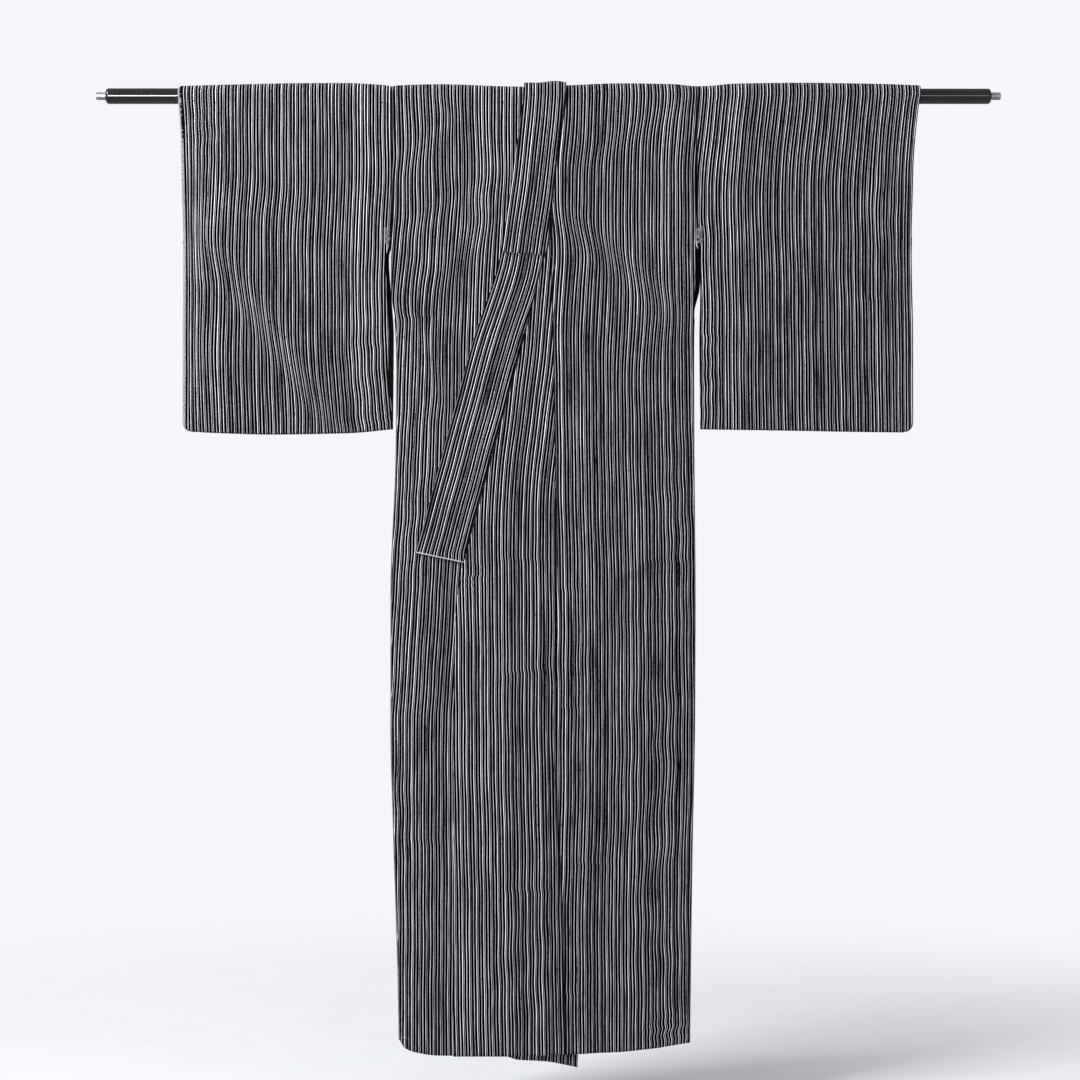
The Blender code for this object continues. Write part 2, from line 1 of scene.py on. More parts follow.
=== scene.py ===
"""The looks of a striped kimono hung on a black rod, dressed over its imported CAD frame.

Metres, +Z up. The origin is the middle of the rod's axis, the front faces -Y, and +X is the wearer's
left. Heights on the cloth are given as a drop, the distance below the rod's axis. Each cut piece is
made again as a fine thin shell on its solid's own form, so the edges and large folds here are the
same as the solids'. The creases, the sway of the stripes, the sewing and the finishes are added here.
"""
import logging
import math
from dataclasses import dataclass
from enum import Enum
from typing import Callable, NamedTuple

import bpy
import numpy as np
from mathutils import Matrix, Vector


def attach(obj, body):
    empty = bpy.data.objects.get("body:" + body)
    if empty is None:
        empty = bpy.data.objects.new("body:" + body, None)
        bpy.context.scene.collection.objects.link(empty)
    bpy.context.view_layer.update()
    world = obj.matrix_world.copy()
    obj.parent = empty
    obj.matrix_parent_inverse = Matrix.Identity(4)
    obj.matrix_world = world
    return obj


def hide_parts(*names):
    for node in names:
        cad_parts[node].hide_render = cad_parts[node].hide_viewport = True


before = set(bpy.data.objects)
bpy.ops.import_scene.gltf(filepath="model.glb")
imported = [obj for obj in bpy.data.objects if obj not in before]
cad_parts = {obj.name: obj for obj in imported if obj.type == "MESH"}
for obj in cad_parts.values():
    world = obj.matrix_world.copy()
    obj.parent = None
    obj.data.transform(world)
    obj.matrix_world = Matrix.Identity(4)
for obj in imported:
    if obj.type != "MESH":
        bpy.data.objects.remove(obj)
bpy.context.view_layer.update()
BODY = "root"
log = logging.getLogger("kimono")

# Short names for types
Array = np.ndarray
Material = bpy.types.Material
Piece = bpy.types.Object
Socket = bpy.types.NodeSocket

# The rod
ROD_RADIUS = 0.0127
ROD_HALF_LENGTH = 0.716
ROD_END_ROUND = 0.005
PEG_RADIUS = 0.0061
PEG_END = 0.7315

# The solids' walls and the spaces between them
SOLID_CLOTH = 0.0020
SOLID_COLLAR = 0.0024
SOLID_OVERCOLLAR = 0.0012
SEAM_GAP = 0.0003
HANG = ROD_RADIUS + 0.0007 + SOLID_CLOTH / 2
SEAM_HALF = 0.0040
PINCH_WIDTH = 0.060
UPPER_LEVEL = 0.0050
COLLAR_TOP_LEVEL = 0.0033
OVERCOLLAR_STEP = SOLID_COLLAR / 2 + SEAM_GAP + 0.0002 + SOLID_OVERCOLLAR / 2
UNDER_COLLAR_LEVEL = 0.0002
LEVEL_FADE = 0.030

# The cut
ARMHOLE_DROP = 0.235
SIDE_OPENING_END = 0.360
CUFF_DROP = 0.230
NECK_RIGHT = -0.0400
NECK_LEFT = 0.0292
BACK_NECK_DROP = 0.0450
BACK_NECK_STEP = 0.0456
BACK_NECK_CURVE = 0.0040
CENTRE_BACK = -0.0056
BODY_LENGTH = 1.550
SLEEVE_LENGTH = 0.545
SLEEVE_CORNER = 0.013
OVERCOLLAR_END = 0.2603
COLLAR_END = 0.7550
COLLAR_TIP = 0.7560
COLLAR_SLANT = 0.0160
OKUMI_TOP = 0.190
OKUMI_TOP_WIDTH = 0.0022
HEM_STRETCH_FROM = 0.83

# The shells' walls and the spacing of their rows and columns
CLOTH = 0.0017
COLLAR_CLOTH = 0.0021
OVERCOLLAR_CLOTH = 0.0010
EDGE_ROUND = 0.28
ROW_STEP = 0.0062
COLLAR_ROW_STEP = 0.0054
LEAST_STEP = 0.0011
COLUMN_STEP = 0.0052
EDGE_INSETS = (0.0, 0.0008, 0.0020, 0.0036)
EDGE_CLEAR = 1.5
CREASE_ROWS = (-0.0062, -0.0040, -0.0022, -0.0008, 0.0006, 0.0020, 0.0036, 0.0060)
NECK_ROWS = (0.0, 0.35, 0.65, 1.0)
CORNER_ROWS = (0.95, 0.7, 0.46, 0.27, 0.12)
OKUMI_ROW = 0.0015
OPENING_ROW = 0.001
ARC_STEPS = 18
BACK_NECK_ROWS = 8
TURN_STEPS = 5
TURN_BULGE = 0.0016
TURN_EASE = 0.030
# How the half rounds' steps are spread for the shade painted along their middle
TURN_SEEN = 0.012
TINY = 1e-12

# Seams: how far they draw the cloth in, how near them that is felt, and how far their shade reaches
SEWN_DIP = 0.0010
BACK_SEWN_DIP = 0.0011
SEWN_REACH = 0.0030
SEWN_EASE = 0.030
SKIRT_DIP = 0.5
SKIRT_FROM = 0.95
SKIRT_EASE = 0.20
SEAM_SHADE = 0.0012
NECK_SHADE = 0.0010
NECK_SHADE_FROM = 0.12
NECK_SHADE_EASE = 0.15

# Distances over which the layers and the depth change
CLOSING = 0.12
FOLD_EASE = 0.050
COVER_EASE = 0.060
COVER_CLEAR = 0.006
TOP_EASE = 0.025
COLLAR_EASE = 0.060

# Folds, creases and the sway of the stripes
FOLD_FADE = 0.25
SLIP_LIFT = 0.0010
SLIP_FADE = 0.10
CREASE_WIDTH = 0.0032
CREASE_TAPER = 0.22
HOLLOW_BELOW = 2.2
HOLLOW_WIDTH = 2.0
HOLLOW_SHARE = 0.6
JOG_SHARE = 0.35
JOG_FADE = 0.020
RIPPLE_LIFT = 0.5
RIPPLE_LIFT_SLANT = 45.0
RIPPLE_SLANT = 60.0

# The collar's fold over the rod, and the rows and reach of the highlight painted on its end, as distances
# from the end
NECK_LOFT = 0.0012
NECK_HUMP_X = 0.0105
NECK_HUMP_HEIGHT = 0.0030
NECK_HUMP_REACH = 0.016
END_ROWS = (0.0017, 0.0021)
PAINTED_HIGHLIGHT_REACH = 0.0019


class Fold(NamedTuple):
    """A soft fold from one point to another: positive lift is a ridge, negative a trough."""
    x0: float
    drop0: float
    x1: float
    drop1: float
    half_width: float
    lift: float
    bow: float = 0.0


class Slip(NamedTuple):
    """A slanted fold that carries the stripes on its -X side to +X, so that they lean its way along it."""
    x0: float
    drop0: float
    x1: float
    drop1: float
    width: float
    shift: float


class Lean(NamedTuple):
    """A patch where the stripes lean: positive degrees carry them to +X on the way down."""
    x: float
    drop: float
    across: float
    down: float
    degrees: float


class Crease(NamedTuple):
    """A storage crease across the stripes, which stands up and jogs them sideways."""
    x0: float
    x1: float
    drop: float
    slope: float
    lift: float
    jog: float


class Ripple(NamedTuple):
    """A patch where the stripes waver from side to side."""
    x: float
    drop: float
    across: float
    down: float
    wave: float
    swing: float


class Wander(NamedTuple):
    """A slow wave of all stripes: its size, and how fast it turns down and across the cloth."""
    size: float
    down: float
    across: float


class Line(NamedTuple):
    """A light line in one repeat of the stripes, as shares of the repeat."""
    start: float
    end: float
    colour: tuple[float, float, float]


class Wearer(Enum):
    """Which side of the wearer a piece is on. The value is the sign of its X."""
    RIGHT = -1
    LEFT = 1


def smooth(value: Array) -> Array:
    """Ease from 0 to 1 over the same range, flat beyond it."""
    value = np.clip(value, 0.0, 1.0)
    return value * value * (3.0 - 2.0 * value)


def near(distance: Array, reach: float | Array) -> Array:
    """1 on a line and 0 well away from it."""
    return np.exp(-(distance / reach) ** 2)


@dataclass(frozen=True)
class Curve:
    """A smooth curve through a few points, level beyond its ends."""
    keys: tuple[float, ...]
    values: tuple[float, ...]

    @classmethod
    def through(cls, *points: tuple[float, float]) -> "Curve":
        """A curve through points, each of them a key and the value there."""
        return cls(*zip(*points))

    def at(self, where: Array) -> Array:
        """Read the curve.

        Args:
            where: Keys at which it is read, in metres.

        Returns:
            The column's values there, in metres.
        """
        keys, values = np.array(self.keys), np.array(self.values)
        spans = np.diff(keys)
        secants = np.diff(values) / spans
        slopes = np.zeros(len(keys))
        before, after = secants[:-1], secants[1:]
        same_way = before * after > 0.0
        slopes[1:-1][same_way] = (2.0 * before * after)[same_way] / (before + after)[same_way]
        slopes[0], slopes[-1] = secants[0], secants[-1]
        place = np.clip(np.searchsorted(keys, where, side="right") - 1, 0, len(spans) - 1)
        span = spans[place]
        t = np.clip((where - keys[place]) / span, 0.0, 1.0)
        start = (2 * t ** 3 - 3 * t ** 2 + 1) * values[place]
        start += (t ** 3 - 2 * t ** 2 + t) * span * slopes[place]
        end = (3 * t ** 2 - 2 * t ** 3) * values[place + 1]
        return start + end + (t ** 3 - t ** 2) * span * slopes[place + 1]


# Edges of the body: drops, and the places across there
SIDE_RIGHT = Curve.through(
    (0.000, -0.2532), (0.170, -0.2532), (0.270, -0.2545), (0.325, -0.2536), (0.358, -0.2482),
    (0.440, -0.2455), (0.580, -0.2468), (0.810, -0.2549), (1.020, -0.2549), (1.190, -0.2508),
    (1.420, -0.2436), (1.550, -0.2411),
)
SIDE_LEFT = Curve.through(
    (0.000, 0.2395), (0.170, 0.2385), (0.270, 0.2370), (0.325, 0.2360), (0.358, 0.2355), (0.440, 0.2350),
    (0.580, 0.2355), (0.810, 0.2374), (1.020, 0.2365), (1.190, 0.2331), (1.420, 0.2298), (1.550, 0.2282),
)
BACK_SLIT_EDGE = Curve.through(
    (0.000, 0.2395), (0.235, 0.2390), (0.255, 0.2472), (0.305, 0.2462), (0.355, 0.2360), (0.400, 0.2352),
)
COLLAR_SEAM = Curve.through(
    (0.000, NECK_LEFT - SEAM_GAP), (0.093, 0.0144), (0.152, 0.0069), (0.205, 0.0022), (0.241, -0.0008),
    (0.278, -0.0121), (0.352, -0.0298), (0.425, -0.0486), (0.493, -0.0669), (0.756, -0.1379),
)
COLLAR_FOLD = Curve.through(
    (0.000, -0.0395), (0.093, -0.0524), (0.215, -0.0708), (0.277, -0.0819), (0.389, -0.1189),
    (0.522, -0.1560), (0.740, -0.2137),
)
UPPER_FRONT_EDGE = Curve.through(
    (0.756, -0.1379), (0.848, -0.1508), (1.020, -0.1530), (1.300, -0.1540), (1.551, -0.1540),
)
UPPER_OKUMI_SEAM = Curve.through(
    (0.190, 0.0060), (0.235, 0.0045), (0.420, 0.0085), (0.750, 0.0131), (1.138, 0.0132), (1.267, 0.0202),
    (1.550, 0.0266),
)
UNDER_COLLAR_SEAM = Curve.through(
    (0.000, -0.0396), (0.120, -0.0260), (0.235, -0.0095), (0.380, 0.0240), (0.756, 0.0863),
)
UNDER_COLLAR_FOLD = Curve.through(
    (0.000, 0.0215), (0.030, 0.0215), (0.090, 0.0330), (0.235, 0.0580), (0.380, 0.0920), (0.740, 0.1620),
)
UNDER_FRONT_EDGE = Curve.through(
    (0.756, 0.0863), (0.848, 0.0790), (1.100, 0.0650), (1.568, 0.0460),
)
UNDER_OKUMI_SEAM = Curve.through(
    (0.190, -0.0188), (0.235, -0.0140), (0.480, -0.0310), (0.756, -0.0460), (1.550, -0.1040),
)

# Edges of the sleeves: drops, and the places across there
RIGHT_CUFF = Curve.through(
    (0.000, -0.5980), (0.068, -0.5935), (0.270, -0.5905), (0.520, -0.5913), (0.545, -0.5913),
)
RIGHT_FURI_FRONT = Curve.through(
    (0.000, -0.2535), (0.235, -0.2532), (0.265, -0.2621), (0.339, -0.2605), (0.396, -0.2573),
    (0.468, -0.2589), (0.509, -0.2540), (0.545, -0.2524),
)
RIGHT_FURI_BACK = Curve.through(
    (0.000, -0.2535), (0.235, -0.2532), (0.265, -0.2589), (0.339, -0.2540), (0.396, -0.2508),
    (0.468, -0.2511), (0.545, -0.2516),
)
LEFT_CUFF = Curve.through(
    (0.000, 0.6010), (0.020, 0.5970), (0.125, 0.5885), (0.260, 0.5870), (0.400, 0.5893), (0.545, 0.5893),
)
LEFT_FURI_FRONT = Curve.through(
    (0.000, 0.2398), (0.235, 0.2400), (0.250, 0.2462), (0.331, 0.2466), (0.397, 0.2444), (0.545, 0.2452),
)
LEFT_FURI_BACK = Curve.through(
    (0.000, 0.2398), (0.235, 0.2400), (0.262, 0.2466), (0.331, 0.2462), (0.397, 0.2448), (0.545, 0.2460),
)

# Lower edges: places across, and the drops there
UPPER_HEM = Curve.through(
    (-0.1540, 1.5507), (-0.0718, 1.5507), (0.0460, 1.5468), (0.1153, 1.5443), (0.1476, 1.5411),
    (0.2282, 1.5314),
)
UNDER_HEM = Curve.through(
    (-0.2411, 1.5250), (-0.2320, 1.5400), (-0.2153, 1.5460), (-0.1750, 1.5500), (-0.0718, 1.5507),
    (-0.0500, 1.5568), (-0.0080, 1.5590), (0.0460, 1.5686),
)
BACK_HEM = Curve.through(
    (-0.2411, 1.5250), (-0.2250, 1.5400), (0.0000, 1.5430), (0.2282, 1.5314),
)
RIGHT_SLEEVE_HEM = Curve.through(
    (-0.5920, 0.5425), (-0.4460, 0.5470), (-0.3266, 0.5450), (-0.2524, 0.5387),
)
LEFT_SLEEVE_HEM = Curve.through(
    (0.2450, 0.5387), (0.4000, 0.5410), (0.5750, 0.5435), (0.5900, 0.5435),
)

# The shoulder fold's height above the rod at places across, lowest at the seams
SHOULDER_LOFT = Curve.through(
    (-0.600, 0.0010), (-0.498, 0.0038), (-0.400, 0.0058), (-0.328, 0.0060), (-0.262, 0.0022),
    (-0.2533, 0.0006), (-0.244, 0.0020), (-0.175, 0.0040), (-0.078, 0.0008), (-0.040, 0.0001),
    (0.030, 0.0022), (0.115, 0.0055), (0.200, 0.0042), (0.2396, 0.0008), (0.256, 0.0010), (0.301, 0.0050),
    (0.406, 0.0064), (0.535, 0.0046), (0.600, 0.0022),
)

# Where each piece's stripes change direction on the way down, and how far they have drifted to +X there
RIGHT_FRONT_BENDS = Curve.through(
    (0.00, 0.000), (0.12, -0.001), (0.34, -0.011), (0.60, -0.019), (1.00, -0.043),
)
LEFT_FRONT_BENDS = Curve.through(
    (0.00, 0.000), (0.13, -0.007), (0.36, -0.007), (0.56, -0.003), (1.00, 0.003), (1.30, -0.002),
)
LEFT_OVERLAP_BENDS = Curve.through(
    (0.19, 0.000), (0.33, -0.003), (0.70, -0.036), (1.55, -0.026),
)
RIGHT_SLEEVE_BENDS = Curve.through(
    (0.00, 0.000), (0.12, 0.001), (0.26, -0.005), (0.38, -0.004), (0.55, 0.006),
)
LEFT_SLEEVE_BENDS = Curve.through(
    (0.00, 0.000), (0.17, -0.014), (0.36, -0.010), (0.55, -0.007),
)

# The slow waves of all stripes
WANDERS = (Wander(0.0005, 17.0, 9.0), Wander(0.0003, 47.0, -31.0))


def beside(fold: Fold | Slip, x: Array, drop: Array) -> tuple[Array, Array]:
    """Place points beside a fold.

    Args:
        fold: The fold.
        x: Places across.
        drop: Drops below the rod's axis.

    Returns:
        The share of the way along it, and the distance from it towards its +X side.
    """
    run_x, run_drop = fold.x1 - fold.x0, fold.drop1 - fold.drop0
    length = math.hypot(run_x, run_drop)
    here_x, here_drop = x - fold.x0, drop - fold.drop0
    along = (here_x * run_x + here_drop * run_drop) / length ** 2
    return along, (here_x * run_drop - here_drop * run_x) / length


def fading(along: Array) -> Array:
    """How strong a fold is along its way: 0 at both ends and 1 over its middle half."""
    return smooth(np.minimum(along, 1.0 - along) / FOLD_FADE)


def patch(spot: Lean | Ripple, x: Array, drop: Array) -> Array:
    """How strong a patch is: 1 at its middle and 0 well away from it."""
    return np.exp(-((x - spot.x) / spot.across) ** 2 - ((drop - spot.drop) / spot.down) ** 2)


def fold_lift(folds: tuple[Fold, ...], x: Array, drop: Array) -> Array:
    """How far folds carry the cloth outwards.

    Args:
        folds: The folds that cross this cloth.
        x: Places across.
        drop: Drops below the rod's axis.

    Returns:
        The lift at each point, in metres.
    """
    total = np.zeros(np.broadcast(x, drop).shape)
    for fold in folds:
        along, across = beside(fold, x, drop)
        across = across - fold.bow * 4.0 * along * (1.0 - along)
        total += fold.lift * fading(along) * near(across, fold.half_width)
    return total


@dataclass(frozen=True)
class Drape:
    """How a length of cloth hangs: its large folds, and the creases and sway of its stripes."""
    folds: tuple[Fold, ...] = ()
    soft_folds: tuple[Fold, ...] = ()
    slips: tuple[Slip, ...] = ()
    leans: tuple[Lean, ...] = ()
    creases: tuple[Crease, ...] = ()
    ripples: tuple[Ripple, ...] = ()

    def lift(self, x: Array, drop: Array) -> Array:
        """The large folds, the same as the solids'."""
        return fold_lift(self.folds, x, drop)

    def crease_window(self, crease: Crease, x: Array, drop: Array) -> tuple:
        """Where a crease is felt.

        Args:
            crease: The crease.
            x: Places across.
            drop: Drops below the rod's axis.

        Returns:
            The distance below its line, and its strength along the line.
        """
        below = drop - crease.drop - crease.slope * (x - (crease.x0 + crease.x1) / 2)
        taper = CREASE_TAPER * (crease.x1 - crease.x0)
        return below, smooth((x - crease.x0) / taper) * smooth((crease.x1 - x) / taper)

    def relief(self, x: Array, drop: Array) -> Array:
        """The small folds and creases that the solids leave out.

        Args:
            x: Places across.
            drop: Drops below the rod's axis.

        Returns:
            Their lift at each point, in metres.
        """
        total = fold_lift(self.soft_folds, x, drop)
        for slip in self.slips:
            along, across = beside(slip, x, drop)
            total += SLIP_LIFT * fading(along) * near(across, slip.width / 2)
        for crease in self.creases:
            below, strength = self.crease_window(crease, x, drop)
            hollow = near(below - HOLLOW_BELOW * CREASE_WIDTH, HOLLOW_WIDTH * CREASE_WIDTH)
            total += crease.lift * strength * (near(below, CREASE_WIDTH) - HOLLOW_SHARE * hollow)
        for ripple in self.ripples:
            wave = np.cos(2 * math.pi * drop / ripple.wave + RIPPLE_LIFT_SLANT * x)
            total += RIPPLE_LIFT * ripple.swing * patch(ripple, x, drop) * wave
        return total

    def sway(self, x: Array, drop: Array) -> Array:
        """How far the stripes are carried to +X.

        Args:
            x: Places across.
            drop: Drops below the rod's axis.

        Returns:
            The shift at each point, in metres.
        """
        total = np.zeros(np.broadcast(x, drop).shape)
        for slip in self.slips:
            along, across = beside(slip, x, drop)
            strength = fading(along) * near(np.minimum(across, 0.0), SLIP_FADE)
            total += slip.shift * strength * smooth(0.5 - across / slip.width)
        for lean in self.leans:
            total += math.tan(math.radians(lean.degrees)) * patch(lean, x, drop) * (drop - lean.drop)
        for crease in self.creases:
            below, strength = self.crease_window(crease, x, drop)
            total += JOG_SHARE * crease.jog * strength * np.tanh(below / CREASE_WIDTH) * near(below, JOG_FADE)
        for ripple in self.ripples:
            wave = np.sin(2 * math.pi * drop / ripple.wave + RIPPLE_SLANT * x)
            total += ripple.swing * patch(ripple, x, drop) * wave
        return total + sum(wave.size * np.sin(wave.down * drop + wave.across * x) for wave in WANDERS)


# The fronts and the back, whose large folds are the solids' own
FRONTS = Drape(
    folds=(
        Fold(-0.078, 0.12, -0.231, 0.36, 0.030, 0.0040), Fold(-0.115, 0.24, -0.240, 0.50, 0.025, -0.0025),
        Fold(0.010, 0.18, 0.225, 0.38, 0.028, 0.0045), Fold(0.010, 0.23, 0.150, 0.53, 0.024, -0.0025),
        Fold(0.012, 0.26, 0.080, 0.70, 0.022, 0.0030), Fold(0.148, 0.02, 0.075, 0.19, 0.030, 0.0030),
        Fold(0.148, 0.76, 0.135, 1.56, 0.036, 0.0045), Fold(-0.070, 0.84, -0.062, 1.56, 0.030, 0.0035),
        Fold(0.015, 0.80, 0.027, 1.58, 0.014, -0.0025), Fold(-0.205, 0.72, -0.222, 1.20, 0.022, 0.0030),
        Fold(-0.195, 1.10, -0.185, 1.58, 0.028, 0.0035), Fold(0.204, 0.52, 0.206, 1.02, 0.020, -0.0020),
    ),
    soft_folds=(
        Fold(-0.200, 0.03, -0.150, 0.30, 0.013, 0.0010), Fold(-0.110, 0.05, -0.165, 0.26, 0.011, -0.0009),
        Fold(0.070, 0.03, 0.045, 0.17, 0.012, -0.0010), Fold(0.195, 0.02, 0.165, 0.21, 0.013, 0.0010),
        Fold(0.060, 0.21, 0.235, 0.33, 0.010, -0.0009), Fold(-0.225, 0.60, -0.160, 0.84, 0.012, 0.0011),
        Fold(0.180, 0.80, 0.215, 1.02, 0.011, 0.0009), Fold(0.100, 1.00, 0.110, 1.40, 0.014, -0.0010),
        Fold(-0.020, 0.90, -0.012, 1.30, 0.012, 0.0010), Fold(-0.118, 0.84, -0.112, 1.20, 0.013, -0.0009),
    ),
    slips=(
        Slip(-0.125, 0.020, -0.270, 0.145, 0.046, 0.0035),
        Slip(-0.050, 0.118, -0.262, 0.240, 0.046, 0.0038),
        Slip(-0.075, 0.181, -0.190, 0.330, 0.042, 0.0040), Slip(-0.020, 0.162, 0.240, 0.379, 0.056, 0.0090),
        Slip(0.270, -0.015, 0.020, 0.128, 0.046, 0.0030), Slip(-0.229, 0.312, -0.153, 0.533, 0.020, 0.0035),
    ),
    leans=(
        Lean(-0.215, 0.110, 0.030, 0.060, -5), Lean(-0.242, 0.350, 0.022, 0.030, 5),
        Lean(-0.130, 0.225, 0.030, 0.040, -3), Lean(-0.118, 0.776, 0.020, 0.014, -9),
        Lean(0.045, 0.240, 0.034, 0.044, 7), Lean(0.196, 0.775, 0.024, 0.022, -5),
        Lean(0.150, 0.855, 0.040, 0.030, 3), Lean(0.055, 0.930, 0.030, 0.030, 3),
        Lean(0.190, 0.970, 0.030, 0.030, 3), Lean(0.170, 1.060, 0.030, 0.022, 5),
        Lean(0.190, 1.225, 0.030, 0.024, -3), Lean(0.180, 1.385, 0.030, 0.024, 4),
        Lean(0.205, 1.505, 0.024, 0.020, -8), Lean(-0.235, 1.140, 0.018, 0.030, 5),
        Lean(-0.235, 1.220, 0.018, 0.026, 4), Lean(0.000, 0.935, 0.024, 0.026, 3),
    ),
    creases=(
        Crease(-0.250, -0.172, 0.357, -0.02, 0.0009, 0.0022),
        Crease(-0.092, 0.012, 0.750, 0.06, 0.0008, 0.0016),
        Crease(0.145, 0.238, 0.752, -0.03, 0.0008, 0.0018),
        Crease(0.012, 0.058, 0.799, -0.08, 0.0008, 0.0016),
        Crease(-0.085, 0.011, 0.930, -0.10, 0.0009, 0.0022),
        Crease(0.013, 0.056, 0.989, 0.0, 0.0008, 0.0016), Crease(0.030, 0.120, 1.240, 0.04, 0.0008, 0.0018),
        Crease(-0.082, 0.016, 1.283, -0.04, 0.0008, 0.0020),
        Crease(0.022, 0.050, 1.449, 0.0, 0.0008, 0.0018),
        Crease(-0.238, -0.160, 1.205, 0.05, 0.0007, 0.0014),
    ),
    ripples=(
        Ripple(0.195, 1.512, 0.034, 0.024, 0.022, 0.0016),
        Ripple(0.170, 1.180, 0.055, 0.250, 0.105, 0.0011),
        Ripple(0.205, 0.700, 0.030, 0.160, 0.070, 0.0008),
        Ripple(-0.122, 0.780, 0.026, 0.022, 0.011, 0.0009),
        Ripple(-0.210, 0.700, 0.040, 0.110, 0.060, 0.0008),
        Ripple(-0.040, 1.400, 0.060, 0.140, 0.090, 0.0007),
    ),
)
BACKS = Drape(
    folds=(
        Fold(-0.060, 0.10, -0.215, 0.42, 0.030, 0.0040), Fold(0.050, 0.12, 0.205, 0.44, 0.030, 0.0040),
        Fold(-0.100, 0.45, -0.120, 1.57, 0.040, 0.0045), Fold(0.090, 0.50, 0.115, 1.57, 0.038, 0.0050),
        Fold(-0.010, 0.30, -0.004, 1.57, 0.022, -0.0030), Fold(-0.185, 0.70, -0.190, 1.50, 0.024, -0.0020),
        Fold(0.170, 0.62, 0.180, 1.48, 0.024, -0.0020),
    ),
    soft_folds=(
        Fold(-0.190, 0.04, -0.140, 0.28, 0.013, 0.0010), Fold(0.175, 0.03, 0.140, 0.26, 0.013, -0.0010),
        Fold(0.060, 0.30, 0.055, 0.62, 0.012, 0.0009), Fold(-0.070, 0.80, -0.060, 1.18, 0.013, -0.0010),
        Fold(0.200, 0.90, 0.205, 1.30, 0.012, 0.0009),
    ),
    leans=(
        Lean(-0.200, 0.080, 0.060, 0.060, -5), Lean(0.190, 0.080, 0.060, 0.060, 5),
        Lean(-0.080, 0.240, 0.050, 0.050, -5), Lean(0.090, 0.250, 0.050, 0.050, 6),
        Lean(-0.190, 0.330, 0.040, 0.040, 5), Lean(0.180, 0.350, 0.040, 0.040, -5),
        Lean(-0.130, 0.820, 0.060, 0.050, 3), Lean(0.140, 0.980, 0.060, 0.050, -4),
        Lean(-0.180, 1.240, 0.050, 0.045, -3), Lean(0.100, 1.380, 0.060, 0.045, 3),
    ),
    creases=(
        Crease(-0.235, -0.130, 0.430, 0.03, 0.0008, 0.0018),
        Crease(0.040, 0.160, 0.752, -0.04, 0.0008, 0.0018),
        Crease(-0.150, -0.012, 0.930, 0.05, 0.0008, 0.0018),
        Crease(0.010, 0.130, 1.245, 0.04, 0.0008, 0.0018),
        Crease(-0.200, -0.090, 1.380, -0.03, 0.0007, 0.0014),
    ),
    ripples=(
        Ripple(-0.190, 1.000, 0.050, 0.200, 0.090, 0.0008),
        Ripple(0.180, 0.620, 0.050, 0.180, 0.075, 0.0008),
    ),
)

# The sleeves, whose two sheets swing together
RIGHT_SLEEVE = Drape(
    folds=(
        Fold(-0.560, 0.16, -0.370, 0.58, 0.032, 0.0060, 0.030),
        Fold(-0.530, 0.16, -0.420, 0.23, 0.026, 0.0035), Fold(-0.274, 0.24, -0.270, 0.58, 0.014, 0.0040),
        Fold(-0.336, 0.04, -0.345, 0.50, 0.030, -0.0030), Fold(-0.470, 0.38, -0.455, 0.58, 0.025, -0.0030),
    ),
    soft_folds=(
        Fold(-0.500, 0.03, -0.400, 0.15, 0.012, 0.0010), Fold(-0.560, 0.24, -0.490, 0.44, 0.010, -0.0010),
        Fold(-0.300, 0.28, -0.330, 0.52, 0.012, -0.0008), Fold(-0.415, 0.22, -0.400, 0.46, 0.013, 0.0009),
    ),
    slips=(Slip(-0.570, 0.205, -0.320, 0.577, 0.054, 0.0100),),
    leans=(
        Lean(-0.440, 0.175, 0.060, 0.036, -2), Lean(-0.304, 0.530, 0.040, 0.018, 8),
        Lean(-0.285, 0.270, 0.030, 0.040, -2.5),
    ),
    creases=(
        Crease(-0.330, -0.262, 0.405, 0.02, 0.0007, 0.0013),
        Crease(-0.588, -0.530, 0.300, -0.10, 0.0006, 0.0010),
    ),
    ripples=(
        Ripple(-0.560, 0.060, 0.030, 0.060, 0.045, 0.0007),
        Ripple(-0.300, 0.420, 0.040, 0.080, 0.060, 0.0006),
        Ripple(-0.270, 0.520, 0.020, 0.020, 0.014, 0.0007),
    ),
)
LEFT_SLEEVE = Drape(
    folds=(
        Fold(0.350, 0.02, 0.275, 0.20, 0.026, 0.0030), Fold(0.341, 0.15, 0.350, 0.58, 0.030, 0.0050),
        Fold(0.535, 0.01, 0.528, 0.42, 0.024, 0.0040), Fold(0.452, 0.20, 0.462, 0.58, 0.026, -0.0040),
        Fold(0.262, 0.25, 0.264, 0.58, 0.013, 0.0030),
    ),
    soft_folds=(
        Fold(0.560, 0.05, 0.470, 0.33, 0.012, 0.0010), Fold(0.440, 0.03, 0.400, 0.22, 0.012, -0.0009),
        Fold(0.300, 0.26, 0.330, 0.46, 0.011, -0.0009), Fold(0.500, 0.34, 0.505, 0.54, 0.012, 0.0009),
    ),
    leans=(
        Lean(0.250, 0.215, 0.022, 0.026, 6), Lean(0.255, 0.530, 0.024, 0.018, -5),
        Lean(0.530, 0.170, 0.024, 0.030, -4), Lean(0.570, 0.265, 0.022, 0.026, 3),
        Lean(0.565, 0.420, 0.026, 0.022, 4), Lean(0.480, 0.530, 0.030, 0.018, 3),
        Lean(0.480, 0.260, 0.030, 0.040, -2),
    ),
    creases=(
        Crease(0.243, 0.285, 0.389, 0.05, 0.0009, 0.0022),
        Crease(0.490, 0.585, 0.330, 0.03, 0.0006, 0.0011),
    ),
    ripples=(
        Ripple(0.262, 0.450, 0.018, 0.060, 0.040, 0.0008),
        Ripple(0.560, 0.200, 0.030, 0.080, 0.060, 0.0007),
    ),
)


